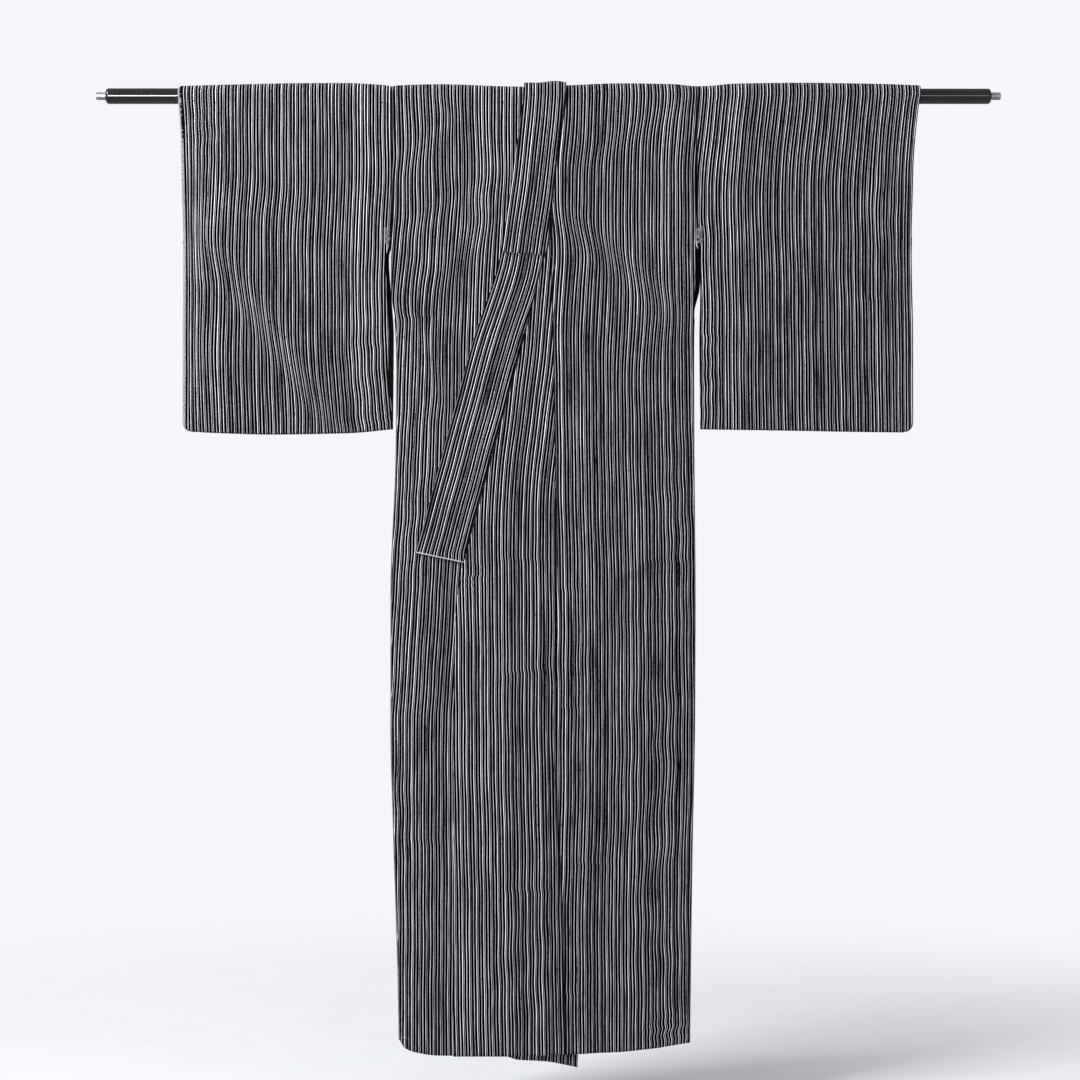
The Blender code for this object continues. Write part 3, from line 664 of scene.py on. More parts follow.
def steps_between(start: float, end: float, spacing: float, extra: list[float]) -> Array:
    """Even steps with some places added.

    Args:
        start: First place.
        end: Last place.
        spacing: About how far apart the steps are.
        extra: Places that are added where no step is near.

    Returns:
        The places in order, both ends among them.
    """
    even = np.linspace(start, end, max(round((end - start) / spacing), 1) + 1)
    kept = [place for place in even if all(abs(place - other) > LEAST_STEP for other in extra)]
    inside = [place for place in extra if start < place < end]
    return np.array(sorted({start, end, *kept, *inside}))


def crease_rows(drape: Drape) -> list[float]:
    """Extra rows close around each crease of a length of cloth."""
    found = sorted(crease.drop + offset for crease in drape.creases for offset in CREASE_ROWS)
    return [drop for i, drop in enumerate(found) if i == 0 or drop - found[i - 1] > LEAST_STEP]


def shares_across(width: float) -> Array:
    """Columns as shares of a width, closer at both edges."""
    insets = [inset / width for inset in EDGE_INSETS]
    clear = insets[-1] * EDGE_CLEAR
    middle = np.linspace(0.0, 1.0, max(round(width / COLUMN_STEP), 2) + 1)
    kept = [share for share in middle if clear < share < 1.0 - clear]
    return np.array(insets + kept + [1.0 - inset for inset in reversed(insets)])


def in_scene(name: str, data: bpy.types.ID) -> Piece:
    """Put a mesh, light or camera into the scene as an object at the origin."""
    piece = bpy.data.objects.new(name, data)
    bpy.context.scene.collection.objects.link(piece)
    return piece


class ClothSurface:
    """A cut piece's middle surface, gathered strip by strip and then given its wall."""

    def __init__(self, name: str) -> None:
        """Start an empty surface with the name of its node."""
        self.name = name
        self.points: list[Array] = []
        self.weave: list[Array] = []
        self.faces: list[Array] = []
        self.count = 0

    def add(self, points: Array, u: Array, v: Array, seam: Array) -> Array:
        """Add a grid of vertices.

        Args:
            points: Places, as rows by columns by three.
            u: Metres across the stripes at each vertex.
            v: Metres along the stripes at each vertex.
            seam: How close each vertex is to a sewn edge, 0 to 1, which the material paints as shade; -1
                paints a highlight.

        Returns:
            The vertices' numbers, as rows by columns.
        """
        shape = points.shape[:2]
        weave = np.stack([np.broadcast_to(part, shape) for part in (u, v, seam)], axis=-1)
        self.points.append(points.reshape(-1, 3))
        self.weave.append(weave.reshape(-1, 3))
        numbers = np.arange(self.count, self.count + shape[0] * shape[1]).reshape(shape)
        self.count += numbers.size
        return numbers

    def skin(self, rows: Array) -> None:
        """Fill a grid of vertex numbers with four-sided faces."""
        corners = (rows[:-1, :-1], rows[:-1, 1:], rows[1:, 1:], rows[1:, :-1])
        self.faces.append(np.stack([corner.ravel() for corner in corners], axis=-1))

    def turn(self, start: Array, end: Array, outward: Array,
             growth: tuple[float, float]) -> Array:
        """Add half rounds that close the space between two edges.

        Args:
            start: Vertex numbers along the edge where the half rounds start.
            end: Vertex numbers along the edge where they end.
            outward: How far and which way each half round bulges, as rows by three.
            growth: How the weave's U and V go on towards the seam, per metre.

        Returns:
            Vertex numbers as edge places by steps round, both edges included.
        """
        points, weave = np.concatenate(self.points), np.concatenate(self.weave)
        first, last = points[start], points[end]
        middle, radius = (first + last) / 2, np.linalg.norm(first - last, axis=1, keepdims=True) / 2
        toward = (first - last) / np.maximum(2 * radius, TINY)
        steps = [start]
        for step in range(1, TURN_STEPS):
            angle = math.pi * step / TURN_STEPS
            place = middle + toward * math.cos(angle) * radius + outward * math.sin(angle)
            share = step / TURN_STEPS
            beyond = radius[:, 0] * min(angle, math.pi - angle)
            u, v = ((1 - share) * weave[start, i] + share * weave[end, i] + growth[i] * beyond
                    for i in (0, 1))
            # Painted shade along the middle of each half round.
            seam = np.full(len(start), near((share - 0.5) * TURN_SEEN, SEAM_SHADE))
            numbers = self.add(place[:, None, :], u[:, None], v[:, None], seam[:, None])
            steps.append(numbers[:, 0])
        return np.stack([*steps, end], axis=1)

    def thicken(self, wall: float, inside_out: bool, finishes: list[Material]) -> Piece:
        """Give the surface its wall, with softly rounded edges.

        Args:
            wall: The cloth's thickness.
            inside_out: Whether the gathered faces point inwards.
            finishes: The outside's material, then the inside's.

        Returns:
            The closed shell.
        """
        points, faces = np.concatenate(self.points), np.concatenate(self.faces)
        if inside_out:
            faces = faces[:, ::-1]
        corners = points[faces]
        face_normals = np.cross(corners[:, 2] - corners[:, 0], corners[:, 3] - corners[:, 1])
        normals = np.zeros_like(points)
        for corner in range(4):
            np.add.at(normals, faces[:, corner], face_normals)
        normals /= np.maximum(np.linalg.norm(normals, axis=1, keepdims=True), TINY)
        starts, ends = faces.ravel(), np.roll(faces, -1, axis=1).ravel()
        border = ~np.isin(starts * len(points) + ends, ends * len(points) + starts)
        start, end = starts[border], ends[border]
        outward = np.zeros_like(points)
        sideways = np.cross(points[end] - points[start], normals[start])
        np.add.at(outward, start, sideways)
        np.add.at(outward, end, sideways)
        outward /= np.maximum(np.linalg.norm(outward, axis=1, keepdims=True), TINY)
        outer = points + normals * wall / 2 - outward * wall * EDGE_ROUND
        inner = points - normals * wall / 2 - outward * wall * EDGE_ROUND
        rim = np.unique(start)
        rim_number = np.zeros(len(points), int)
        rim_number[rim] = 2 * len(points) + np.arange(len(rim))
        below = len(points)
        quads = np.concatenate([
            faces, faces[:, ::-1] + below,
            np.stack([end, start, rim_number[start], rim_number[end]], axis=-1),
            np.stack([rim_number[end], rim_number[start], start + below, end + below], axis=-1),
        ])
        slots = np.repeat([0, 1, 0, 0], [len(faces), len(faces), len(start), len(start)])
        weave = np.concatenate(self.weave)
        return self.mesh_object(np.concatenate([outer, inner, points[rim]]), quads,
                                np.concatenate([weave, weave, weave[rim]]), slots, finishes)

    def mesh_object(self, points: Array, quads: Array, weave: Array, slots: Array,
                    finishes: list[Material]) -> Piece:
        """Make the shell's mesh, its UV map and its seam attribute, which sets the painted shade.

        Args:
            points: All vertices.
            quads: All faces.
            weave: Each vertex's place in the weave and its closeness to a seam, which sets the painted shade.
            slots: Each face's material.
            finishes: The materials.

        Returns:
            The object, at the origin.
        """
        mesh = bpy.data.meshes.new(self.name + "_cloth")
        mesh.from_pydata(points.tolist(), [], quads.tolist())
        for finish in finishes:
            mesh.materials.append(finish)
        mesh.polygons.foreach_set("material_index", slots.astype(np.int32))
        corners = quads.ravel()
        mesh.uv_layers.new(name="weave").data.foreach_set("uv", weave[corners, :2].astype(np.float32).ravel())
        seam = mesh.attributes.new("seam", "FLOAT", "POINT")
        seam.data.foreach_set("value", weave[:, 2].astype(np.float32))
        mesh.shade_smooth()
        mesh.validate()
        return in_scene(self.name + "_cloth", mesh)


def body_half_depth(x: Array, drop: Array) -> tuple[Array, Array]:
    """Half the space between front and back, and how open it is: 0 at a closed side seam, 1 inside."""
    from_side = np.maximum(np.minimum(x - SIDE_RIGHT.at(drop), SIDE_LEFT.at(drop) - x), 0.0)
    closing = smooth((drop - SIDE_OPENING_END + CLOSING / 2) / CLOSING)
    pinch = 1.0 - closing * (1.0 - smooth(from_side / PINCH_WIDTH))
    return SEAM_HALF + (HANG - SEAM_HALF) * pinch, pinch


def front_points(x: Array, drop: Array, level: Array, dip: Array) -> Array:
    """Points on a front layer.

    Args:
        x: Places across.
        drop: Drops below the rod's axis.
        level: How far the layer stands in front of the under front.
        dip: How far seams draw it in.

    Returns:
        The points, with a last axis of three.
    """
    half, pinch = body_half_depth(x, drop)
    lift = (FRONTS.lift(x, drop) + FRONTS.relief(x, drop)) * pinch * smooth(drop / FOLD_EASE)
    return np.stack([x, -(half + level + lift - dip), -drop], axis=-1)


def back_points(x: Array, drop: Array, dip: Array) -> Array:
    """Points on the back.

    Args:
        x: Places across.
        drop: Drops below the rod's axis.
        dip: How far seams draw it in.

    Returns:
        The points, with a last axis of three.
    """
    half, pinch = body_half_depth(x, drop)
    lift = (BACKS.lift(x, drop) + BACKS.relief(x, drop)) * pinch * smooth(drop / FOLD_EASE)
    return np.stack([x, half + lift - dip, -drop], axis=-1)


def upper_level(x: Array, drop: Array) -> Array:
    """The upper front's level: full where it lies on the under front, none past its edge."""
    end = UNDER_COLLAR_FOLD.keys[-1]
    blend = smooth((drop - end) / COVER_EASE)
    below = (1.0 - blend) * UNDER_COLLAR_FOLD.values[-1] + blend * UNDER_FRONT_EDGE.at(drop)
    cover = np.where(drop < end, UNDER_COLLAR_FOLD.at(drop), below)
    return UPPER_LEVEL * (1.0 - smooth((x - cover - COVER_CLEAR) / LEVEL_FADE)) * smooth(drop / TOP_EASE)


def collar_level(drop: Array) -> Array:
    """The upper collar's level, tight over the rod and easier below."""
    return COLLAR_TOP_LEVEL + (UPPER_LEVEL - COLLAR_TOP_LEVEL) * smooth(drop / COLLAR_EASE)


def under_collar_level(drop: Array) -> Array:
    """The under collar's level, the same all the way."""
    return UNDER_COLLAR_LEVEL + 0.0 * drop


def over_rod(x: Array, half: float, height: Array, angle: Array) -> Array:
    """Points of the shoulder fold, an arc over the rod from front to back."""
    return np.stack([x, -half * np.cos(angle) + 0.0 * x, height * np.sin(angle)], axis=-1)


def stretched(row: Array, hem: Array) -> Array:
    """A row's drop, with the lower rows stretched to reach the hem."""
    share = (hem - HEM_STRETCH_FROM) / (BODY_LENGTH - HEM_STRETCH_FROM)
    return np.where(row <= HEM_STRETCH_FROM, row, HEM_STRETCH_FROM + (row - HEM_STRETCH_FROM) * share)


def skirt(drop: Array) -> Array:
    """How far down the skirt a place is: 0 above it and 1 well inside it."""
    return smooth((drop - SKIRT_FROM) / SKIRT_EASE)


def valley(drop: Array) -> Array:
    """How far each side of a front's seam its shade reaches, wider at the neck and down the skirt."""
    neck = 1.0 - smooth((drop - NECK_SHADE_FROM) / NECK_SHADE_EASE)
    return SEAM_SHADE + SEAM_SHADE * skirt(drop) + NECK_SHADE * neck


def turned_in(drop: Array, start: float) -> Array:
    """How far sewn edges are drawn in below the start of a seam, as far as the half rounds bulge."""
    return TURN_BULGE * smooth((drop - start) / TURN_EASE)


@dataclass
class BodyPanel:
    """A body length: front and back in one strip over the shoulder, closed down its side seam."""
    name: str
    side: Wearer
    neck_x: float
    front_hem: Curve
    collar_seam: Curve
    okumi_seam: Curve
    drift: Curve
    upper: bool
    phase: float
    flat: tuple[float, float] = (0.245, 3.16)

    def outer_front(self, drop: Array) -> Array:
        """The front's side edge, drawn in where it is sewn."""
        edge = SIDE_LEFT if self.side is Wearer.LEFT else SIDE_RIGHT
        return edge.at(drop) - self.side.value * turned_in(drop, SIDE_OPENING_END)

    def outer_back(self, drop: Array) -> Array:
        """The back's side edge, which stands out a little at the left side opening."""
        if self.side is Wearer.RIGHT:
            return self.outer_front(drop)
        open_edge = BACK_SLIT_EDGE.at(drop) - turned_in(drop, SIDE_OPENING_END)
        return np.where(drop < BACK_SLIT_EDGE.keys[-1], open_edge, self.outer_front(drop))

    def inner_front(self, drop: Array) -> Array:
        """The front's edge at the collar, and at the overlap's seam below it."""
        sign = self.side.value
        return np.where(drop < OKUMI_TOP, self.collar_seam.at(drop) + sign * SEAM_GAP,
                        self.okumi_seam.at(drop) + sign * SEAM_GAP / 2)

    def inner_back(self, drop: Array) -> Array:
        """The back's edge at the neck, and at the centre seam below it."""
        centre = CENTRE_BACK + self.side.value * SEAM_GAP / 2
        return self.neck_x + (centre - self.neck_x) * smooth((drop - BACK_NECK_STEP) / BACK_NECK_CURVE)

    def places(self, rows: Array, shares: Array, outer: Callable, inner: Callable,
               hem: Curve) -> tuple[Array, Array]:
        """Lay a grid between two edges, down to a hem.

        Args:
            rows: Nominal drops.
            shares: Columns, as shares from the side edge to the inner edge.
            outer: The side edge over the drop.
            inner: The inner edge over the drop.
            hem: The lower edge.

        Returns:
            The places across and the drops, as rows by columns.
        """
        guess = outer(rows)[:, None] + (inner(rows) - outer(rows))[:, None] * shares
        drop = stretched(rows[:, None], hem.at(guess))
        return outer(drop) + (inner(drop) - outer(drop)) * shares, drop

    def seam_strength(self, x: Array, drop: Array, outer: Callable, inner: Callable,
                      reach: float | Array) -> Array:
        """How close a point is to the sleeve's seam or the inner seam, 0 to 1."""
        sleeve_seam = near(x - outer(drop), reach) * (drop < ARMHOLE_DROP)
        return np.minimum(near(x - inner(drop), reach) + sleeve_seam, 1.0)

    def carried(self, x: Array, drop: Array, drape: Drape) -> Array:
        """How far the stripes are carried to +X by the drape and, on the front, by their drift."""
        return drape.sway(x, drop) + (self.drift.at(drop) if drape is FRONTS else 0.0)

    def build(self, finishes: list[Material]) -> Piece:
        """Make the panel.

        Args:
            finishes: The outside's material, then the inside's.

        Returns:
            The panel's shell.
        """
        neck_rows = [BACK_NECK_STEP + BACK_NECK_CURVE * share for share in NECK_ROWS]
        extra = [*crease_rows(FRONTS), OKUMI_TOP - OKUMI_ROW, OKUMI_TOP, SIDE_OPENING_END + OPENING_ROW]
        extra = sorted(drop for drop in extra if all(abs(drop - row) > LEAST_STEP for row in neck_rows))
        rows = steps_between(0.0, BODY_LENGTH, ROW_STEP, sorted(extra + neck_rows))
        shares = shares_across(self.flat[0])
        surface = ClothSurface(self.name)

        outer, inner = self.outer_front, self.inner_front
        x, drop = self.places(rows, shares, outer, inner, self.front_hem)
        strength = self.seam_strength(x, drop, outer, inner, SEWN_REACH)
        dip = SEWN_DIP * strength * smooth(drop / SEWN_EASE) * (1.0 + SKIRT_DIP * skirt(drop))
        level = upper_level(x, drop) if self.upper else np.zeros_like(x)
        u = self.phase + x - self.carried(x, drop, FRONTS)
        # Painted shade along the inner seam and the sleeve's seam
        seam = self.seam_strength(x, drop, outer, inner, valley(drop))
        front = surface.add(front_points(x, drop, level, dip)[::-1], u[::-1], drop[::-1], seam[::-1])

        angles = (math.pi * np.arange(1, ARC_STEPS) / ARC_STEPS)[:, None]
        side_x = float(outer(np.array(0.0)))
        over = (side_x + (self.neck_x - side_x) * shares)[None, :] + 0.0 * angles
        top = np.zeros_like(over)
        shift = (1 - angles / math.pi) * self.carried(over, top, FRONTS)
        shift += angles / math.pi * self.carried(over, top, BACKS)
        # Painted shade along the seams over the crest
        seam = self.seam_strength(over, top, outer, self.inner_back, SEAM_SHADE)
        crest = surface.add(over_rod(over, HANG, HANG + SHOULDER_LOFT.at(over), angles),
                            self.phase + over - shift, -HANG * angles, seam)

        outer, inner = self.outer_back, self.inner_back
        x, drop = self.places(rows, shares, outer, inner, BACK_HEM)
        dip = BACK_SEWN_DIP * self.seam_strength(x, drop, outer, inner, SEWN_REACH) * smooth(drop / SEWN_EASE)
        # Painted shade along the back's seams
        seam = self.seam_strength(x, drop, outer, inner, SEAM_SHADE)
        back = surface.add(back_points(x, drop, dip), self.phase + x - self.carried(x, drop, BACKS),
                           -math.pi * HANG - drop, seam)

        surface.skin(np.concatenate([front, crest, back]))
        closed = rows > SIDE_OPENING_END
        bulge = self.side.value * turned_in(rows[closed], SIDE_OPENING_END)
        outward = np.stack([bulge, 0.0 * bulge, 0.0 * bulge], axis=-1)
        surface.skin(surface.turn(front[::-1][closed, 0], back[closed, 0], outward, (self.side.value, 0.0)))
        return surface.thicken(CLOTH, self.side is Wearer.LEFT, finishes)


@dataclass
class Okumi:
    """An overlap panel, from the collar and the front edge to its seam with the body panel."""
    name: str
    side: Wearer
    collar_seam: Curve
    front_edge: Curve
    seam: Curve
    hem: Curve
    drift: Curve
    phase: float
    flat: tuple[float, float]

    def build(self, finishes: list[Material]) -> Piece:
        """Make the panel.

        Args:
            finishes: The outside's material, then the inside's.

        Returns:
            The panel's shell.
        """
        sign = self.side.value
        rows = steps_between(OKUMI_TOP, BODY_LENGTH, ROW_STEP, crease_rows(FRONTS) + [COLLAR_TIP])[:, None]
        outer = np.where(rows <= COLLAR_TIP, self.collar_seam.at(rows) + sign * SEAM_GAP,
                         self.front_edge.at(rows))
        inner = self.seam.at(rows) - sign * SEAM_GAP / 2
        least = OKUMI_TOP_WIDTH - SEAM_GAP
        outer = np.where(sign * (inner - outer) < least, inner - sign * least, outer)
        x = outer + (inner - outer) * shares_across(self.flat[0])
        drop = stretched(rows, self.hem.at(x))
        level = upper_level(x, drop) if self.side is Wearer.LEFT else np.zeros_like(x)
        sewn_edge = near(x - outer, SEWN_REACH) * (drop < COLLAR_TIP)
        sewn = near(x - inner, SEWN_REACH) * (1.0 + SKIRT_DIP * skirt(drop)) + sewn_edge
        dip = SEWN_DIP * np.minimum(sewn, 1.0 + SKIRT_DIP)
        # Painted shade along the seam, and along the collar's edge above the collar's tip
        seam = near(x - inner, valley(drop)) + near(x - outer, SEAM_SHADE) * (drop < COLLAR_TIP)
        shift = FRONTS.sway(x, drop) + self.drift.at(drop)
        surface = ClothSurface(self.name)
        surface.skin(surface.add(front_points(x, drop, level, dip), self.phase + x - shift, drop,
                                 np.minimum(seam, 1.0)))
        return surface.thicken(CLOTH, self.side is Wearer.LEFT, finishes)


@dataclass
class CollarBand:
    """A collar band: one strip up a front, over the rod and down to the back of the neck."""
    name: str
    side: Wearer
    fold_edge: Curve
    seam_edge: Curve
    level: Callable[[Array], Array]
    end: float
    step_out: float
    wall: float
    phase: float
    flat: tuple[float, float]
    painted_end_highlight: bool = False
    skew: float = -0.055
    skew_reach: float = 0.20
    ease: float = 1.03
    sewn_dip: float = 0.0007
    sewn_reach: float = 0.0026
    turned_dip: float = 0.0005
    turned_reach: float = 0.0016
    # How far the shade painted along the seam, at the neck and along the fold edge reaches, and how dark it
    # is at the fold edge
    seam_shade: float = 0.0013
    neck_shade: float = 0.0020
    neck_shade_from: float = 0.060
    fold_shade: float = 0.45
    fold_shade_reach: float = 0.0009

    def build(self, finishes: list[Material]) -> Piece:
        """Make the band.

        Args:
            finishes: The outside's material, then the inside's.

        Returns:
            The band's shell.
        """
        tip = [self.end - inset for inset in END_ROWS] if self.painted_end_highlight else []
        rows = steps_between(0.0, self.end, COLLAR_ROW_STEP, tip)[::-1][:, None]
        shares = shares_across(self.flat[0])
        fold_drop = rows * (1.0 - COLLAR_SLANT / COLLAR_END)
        fold_x, seam_x = self.fold_edge.at(fold_drop), self.seam_edge.at(rows)
        x = fold_x + (seam_x - fold_x) * shares
        here = fold_drop + (rows - fold_drop) * shares
        slant = np.gradient(fold_x[:, 0], rows[:, 0])[:, None]
        width = self.ease * np.abs(x - self.fold_edge.at(here)) / np.sqrt(1.0 + slant ** 2)
        along = self.skew * self.skew_reach * (1.0 - np.exp(-here / self.skew_reach))
        sewn, turned = near(x - seam_x, self.sewn_reach), near(x - fold_x, self.turned_reach)
        dip = self.sewn_dip * sewn + self.turned_dip * turned
        u = self.phase + width + along - self.side.value * Drape().sway(x, here)
        # Painted shade along the seam, wider at the neck, and a lighter painted shade along the fold edge
        neck = 1.0 - smooth((here - self.neck_shade_from) / self.neck_shade_from)
        edges = near(x - seam_x, self.seam_shade + self.neck_shade * neck)
        edges = np.minimum(edges + self.fold_shade * near(x - fold_x, self.fold_shade_reach), 1.0)
        # The end rows get -1, which paints a pale highlight across the collar's end.
        if self.painted_end_highlight:
            edges = np.where(rows > self.end - PAINTED_HIGHLIGHT_REACH, -1.0, edges)
        surface = ClothSurface(self.name)
        lower = surface.add(front_points(x, here, self.level(here) + self.step_out, dip), u, here, edges)

        angles = (math.pi * np.arange(1, ARC_STEPS + 1) / ARC_STEPS)[:, None]
        over = x[-1] + 0.0 * angles
        radius = float(HANG + self.level(np.array(0.0)) + self.step_out)
        hump = NECK_HUMP_HEIGHT * near(over - NECK_HUMP_X, NECK_HUMP_REACH)
        arc = over_rod(over, radius, radius + NECK_LOFT + hump, angles)
        # Painted shade along the seam over the crest and down the back of the neck
        seam = near(over - seam_x[-1], SEAM_SHADE)
        crest = surface.add(arc, u[-1] + 0.0 * over, -HANG * angles, seam)
        down = np.linspace(0.0, BACK_NECK_DROP, BACK_NECK_ROWS + 1)[1:, None]
        flat = 0.0 * down + 0.0 * x[-1]
        back = surface.add(np.stack([x[-1] + flat, radius + flat, flat - down], axis=-1), u[-1] + flat,
                           -math.pi * HANG - down, seam[0] + flat)
        surface.skin(np.concatenate([lower, crest, back]))
        return surface.thicken(self.wall, self.side is Wearer.RIGHT, finishes)


@dataclass
class Sleeve:
    """A sleeve: one strip over the rod, sewn along the bottom and under the cuff."""
    name: str
    side: Wearer
    cuff: Curve
    furi_front: Curve
    furi_back: Curve
    hem: Curve
    drape: Drape
    drift: Curve
    cuff_rest: float
    flat: tuple[float, float] = (0.345, 1.13)
    seam_ease: float = 0.12
    cuff_close: float = 0.10
    cuff_ease: float = 0.12
    cuff_depth: float = 0.05
    corner_ease: float = 0.12
    edge_calm: float = 0.04

    def half_depth(self, x: Array, drop: Array, inner: Array) -> Array:
        """Half the space inside the sleeve.

        Args:
            x: Places across.
            drop: Drops below the rod's axis.
            inner: The place of the inner edge.

        Returns:
            The distance from the middle to each sheet.
        """
        length = self.hem.at(x)
        from_cuff = np.abs(x - self.cuff.at(drop))
        sewn = np.maximum((drop - ARMHOLE_DROP) / (length - ARMHOLE_DROP), 0.0)
        near_seam = 1.0 - smooth(np.abs(inner - x) / self.seam_ease)
        closing = (drop / length) ** 2 * (1.0 - near_seam) + sewn ** 2 * near_seam
        under_cuff = smooth((drop - CUFF_DROP + self.cuff_close) / self.cuff_ease)
        under_cuff = under_cuff * (1.0 - smooth(from_cuff / self.cuff_depth))
        return SEAM_HALF + (HANG - SEAM_HALF) * (1.0 - closing) * (1.0 - under_cuff)

    def sheet(self, rows: Array, shares: Array, furi: Curve, facing: int) -> tuple:
        """Lay one sheet of the sleeve.

        Args:
            rows: Nominal drops.
            shares: Columns, as shares from the cuff to the inner edge.
            furi: The inner edge.
            facing: 1 for the front sheet and -1 for the back one.

        Returns:
            The points, the stripes' U, the drops and the closeness to the sleeve's seam.
        """
        start = (self.cuff.at(rows) - self.side.value * turned_in(rows, CUFF_DROP))[:, None]
        inner = furi.at(rows)[:, None]
        x = start + (inner - start) * shares
        length = self.hem.at(x)
        drop = rows[:, None] * (length - TURN_BULGE) / SLEEVE_LENGTH
        above = np.clip(length - TURN_BULGE - drop, 0.0, SLEEVE_CORNER)
        round_off = np.maximum(SLEEVE_CORNER ** 2 - (SLEEVE_CORNER - above) ** 2, 0.0)
        inset = SLEEVE_CORNER - np.sqrt(round_off)
        x = x - self.side.value * inset * (1.0 - smooth(shares / self.corner_ease))
        sewn = near(x - inner, SEWN_REACH) * (drop < ARMHOLE_DROP)
        ease = smooth(drop / FOLD_EASE)
        swing = (self.drape.lift(x, drop) + self.drape.relief(x, drop)) * ease
        half = self.half_depth(x, drop, inner) - SEWN_DIP * sewn * smooth(drop / SEWN_EASE)
        points = np.stack([x, -facing * half - swing, -drop], axis=-1)
        # Painted shade along the sleeve's seam down to the armhole
        seam = near(x - inner, SEAM_SHADE) * (drop < ARMHOLE_DROP)
        return points, self.stripes(x, drop), drop, seam

    def stripes(self, x: Array, drop: Array) -> Array:
        """The stripes' U, which is 0 at the cuff's edge."""
        edge = self.cuff.at(drop)
        inside = smooth(np.abs(x - edge) / self.edge_calm)
        shift = inside * (self.drape.sway(x, drop) + self.drift.at(drop))
        return self.side.value * (self.cuff_rest - x + shift + (1.0 - inside) * (edge - self.cuff_rest))

    def build(self, finishes: list[Material]) -> Piece:
        """Make the sleeve.

        Args:
            finishes: The outside's material, then the inside's.

        Returns:
            The sleeve's shell.
        """
        corner = [SLEEVE_LENGTH - SLEEVE_CORNER * share for share in CORNER_ROWS]
        rows = steps_between(0.0, SLEEVE_LENGTH, ROW_STEP, crease_rows(self.drape) + [CUFF_DROP] + corner)
        shares = shares_across(self.flat[0])
        surface = ClothSurface(self.name)
        points, u, drop, seam = self.sheet(rows, shares, self.furi_front, 1)
        front = surface.add(points[::-1], u[::-1], drop[::-1], seam[::-1])
        edge_drop = drop[:, 0]

        angles = (math.pi * np.arange(1, ARC_STEPS) / ARC_STEPS)[:, None]
        over = points[0, :, 0] + 0.0 * angles
        crest = surface.add(over_rod(over, HANG, HANG + SHOULDER_LOFT.at(over), angles), u[0] + 0.0 * over,
                            -HANG * angles, seam[0] + 0.0 * over)
        points, u, drop, seam = self.sheet(rows, shares, self.furi_back, -1)
        back = surface.add(points, u, -math.pi * HANG - drop, seam)
        surface.skin(np.concatenate([front, crest, back]))

        front = front[::-1]
        closed = rows >= CUFF_DROP
        length = self.hem.at(points[closed, 0, 0]) - TURN_BULGE
        down = 1.0 - np.clip(length - edge_drop[closed], 0.0, SLEEVE_CORNER) / SLEEVE_CORNER
        bulge = turned_in(rows[closed], CUFF_DROP)
        sideways = self.side.value * bulge * np.sqrt(1.0 - down ** 2)
        outward = np.stack([sideways, 0.0 * down, -bulge * down], axis=-1)
        side = surface.turn(front[closed, 0], back[closed, 0], outward, (-1.0, 0.0))
        surface.skin(side)
        straight_down = np.tile([0.0, 0.0, -TURN_BULGE], (len(shares) - 1, 1))
        bottom = surface.turn(front[-1, 1:], back[-1, 1:], straight_down, (0.0, 1.0))
        surface.skin(np.concatenate([side[-1:], bottom]))
        return surface.thicken(CLOTH, self.side is Wearer.LEFT, finishes)


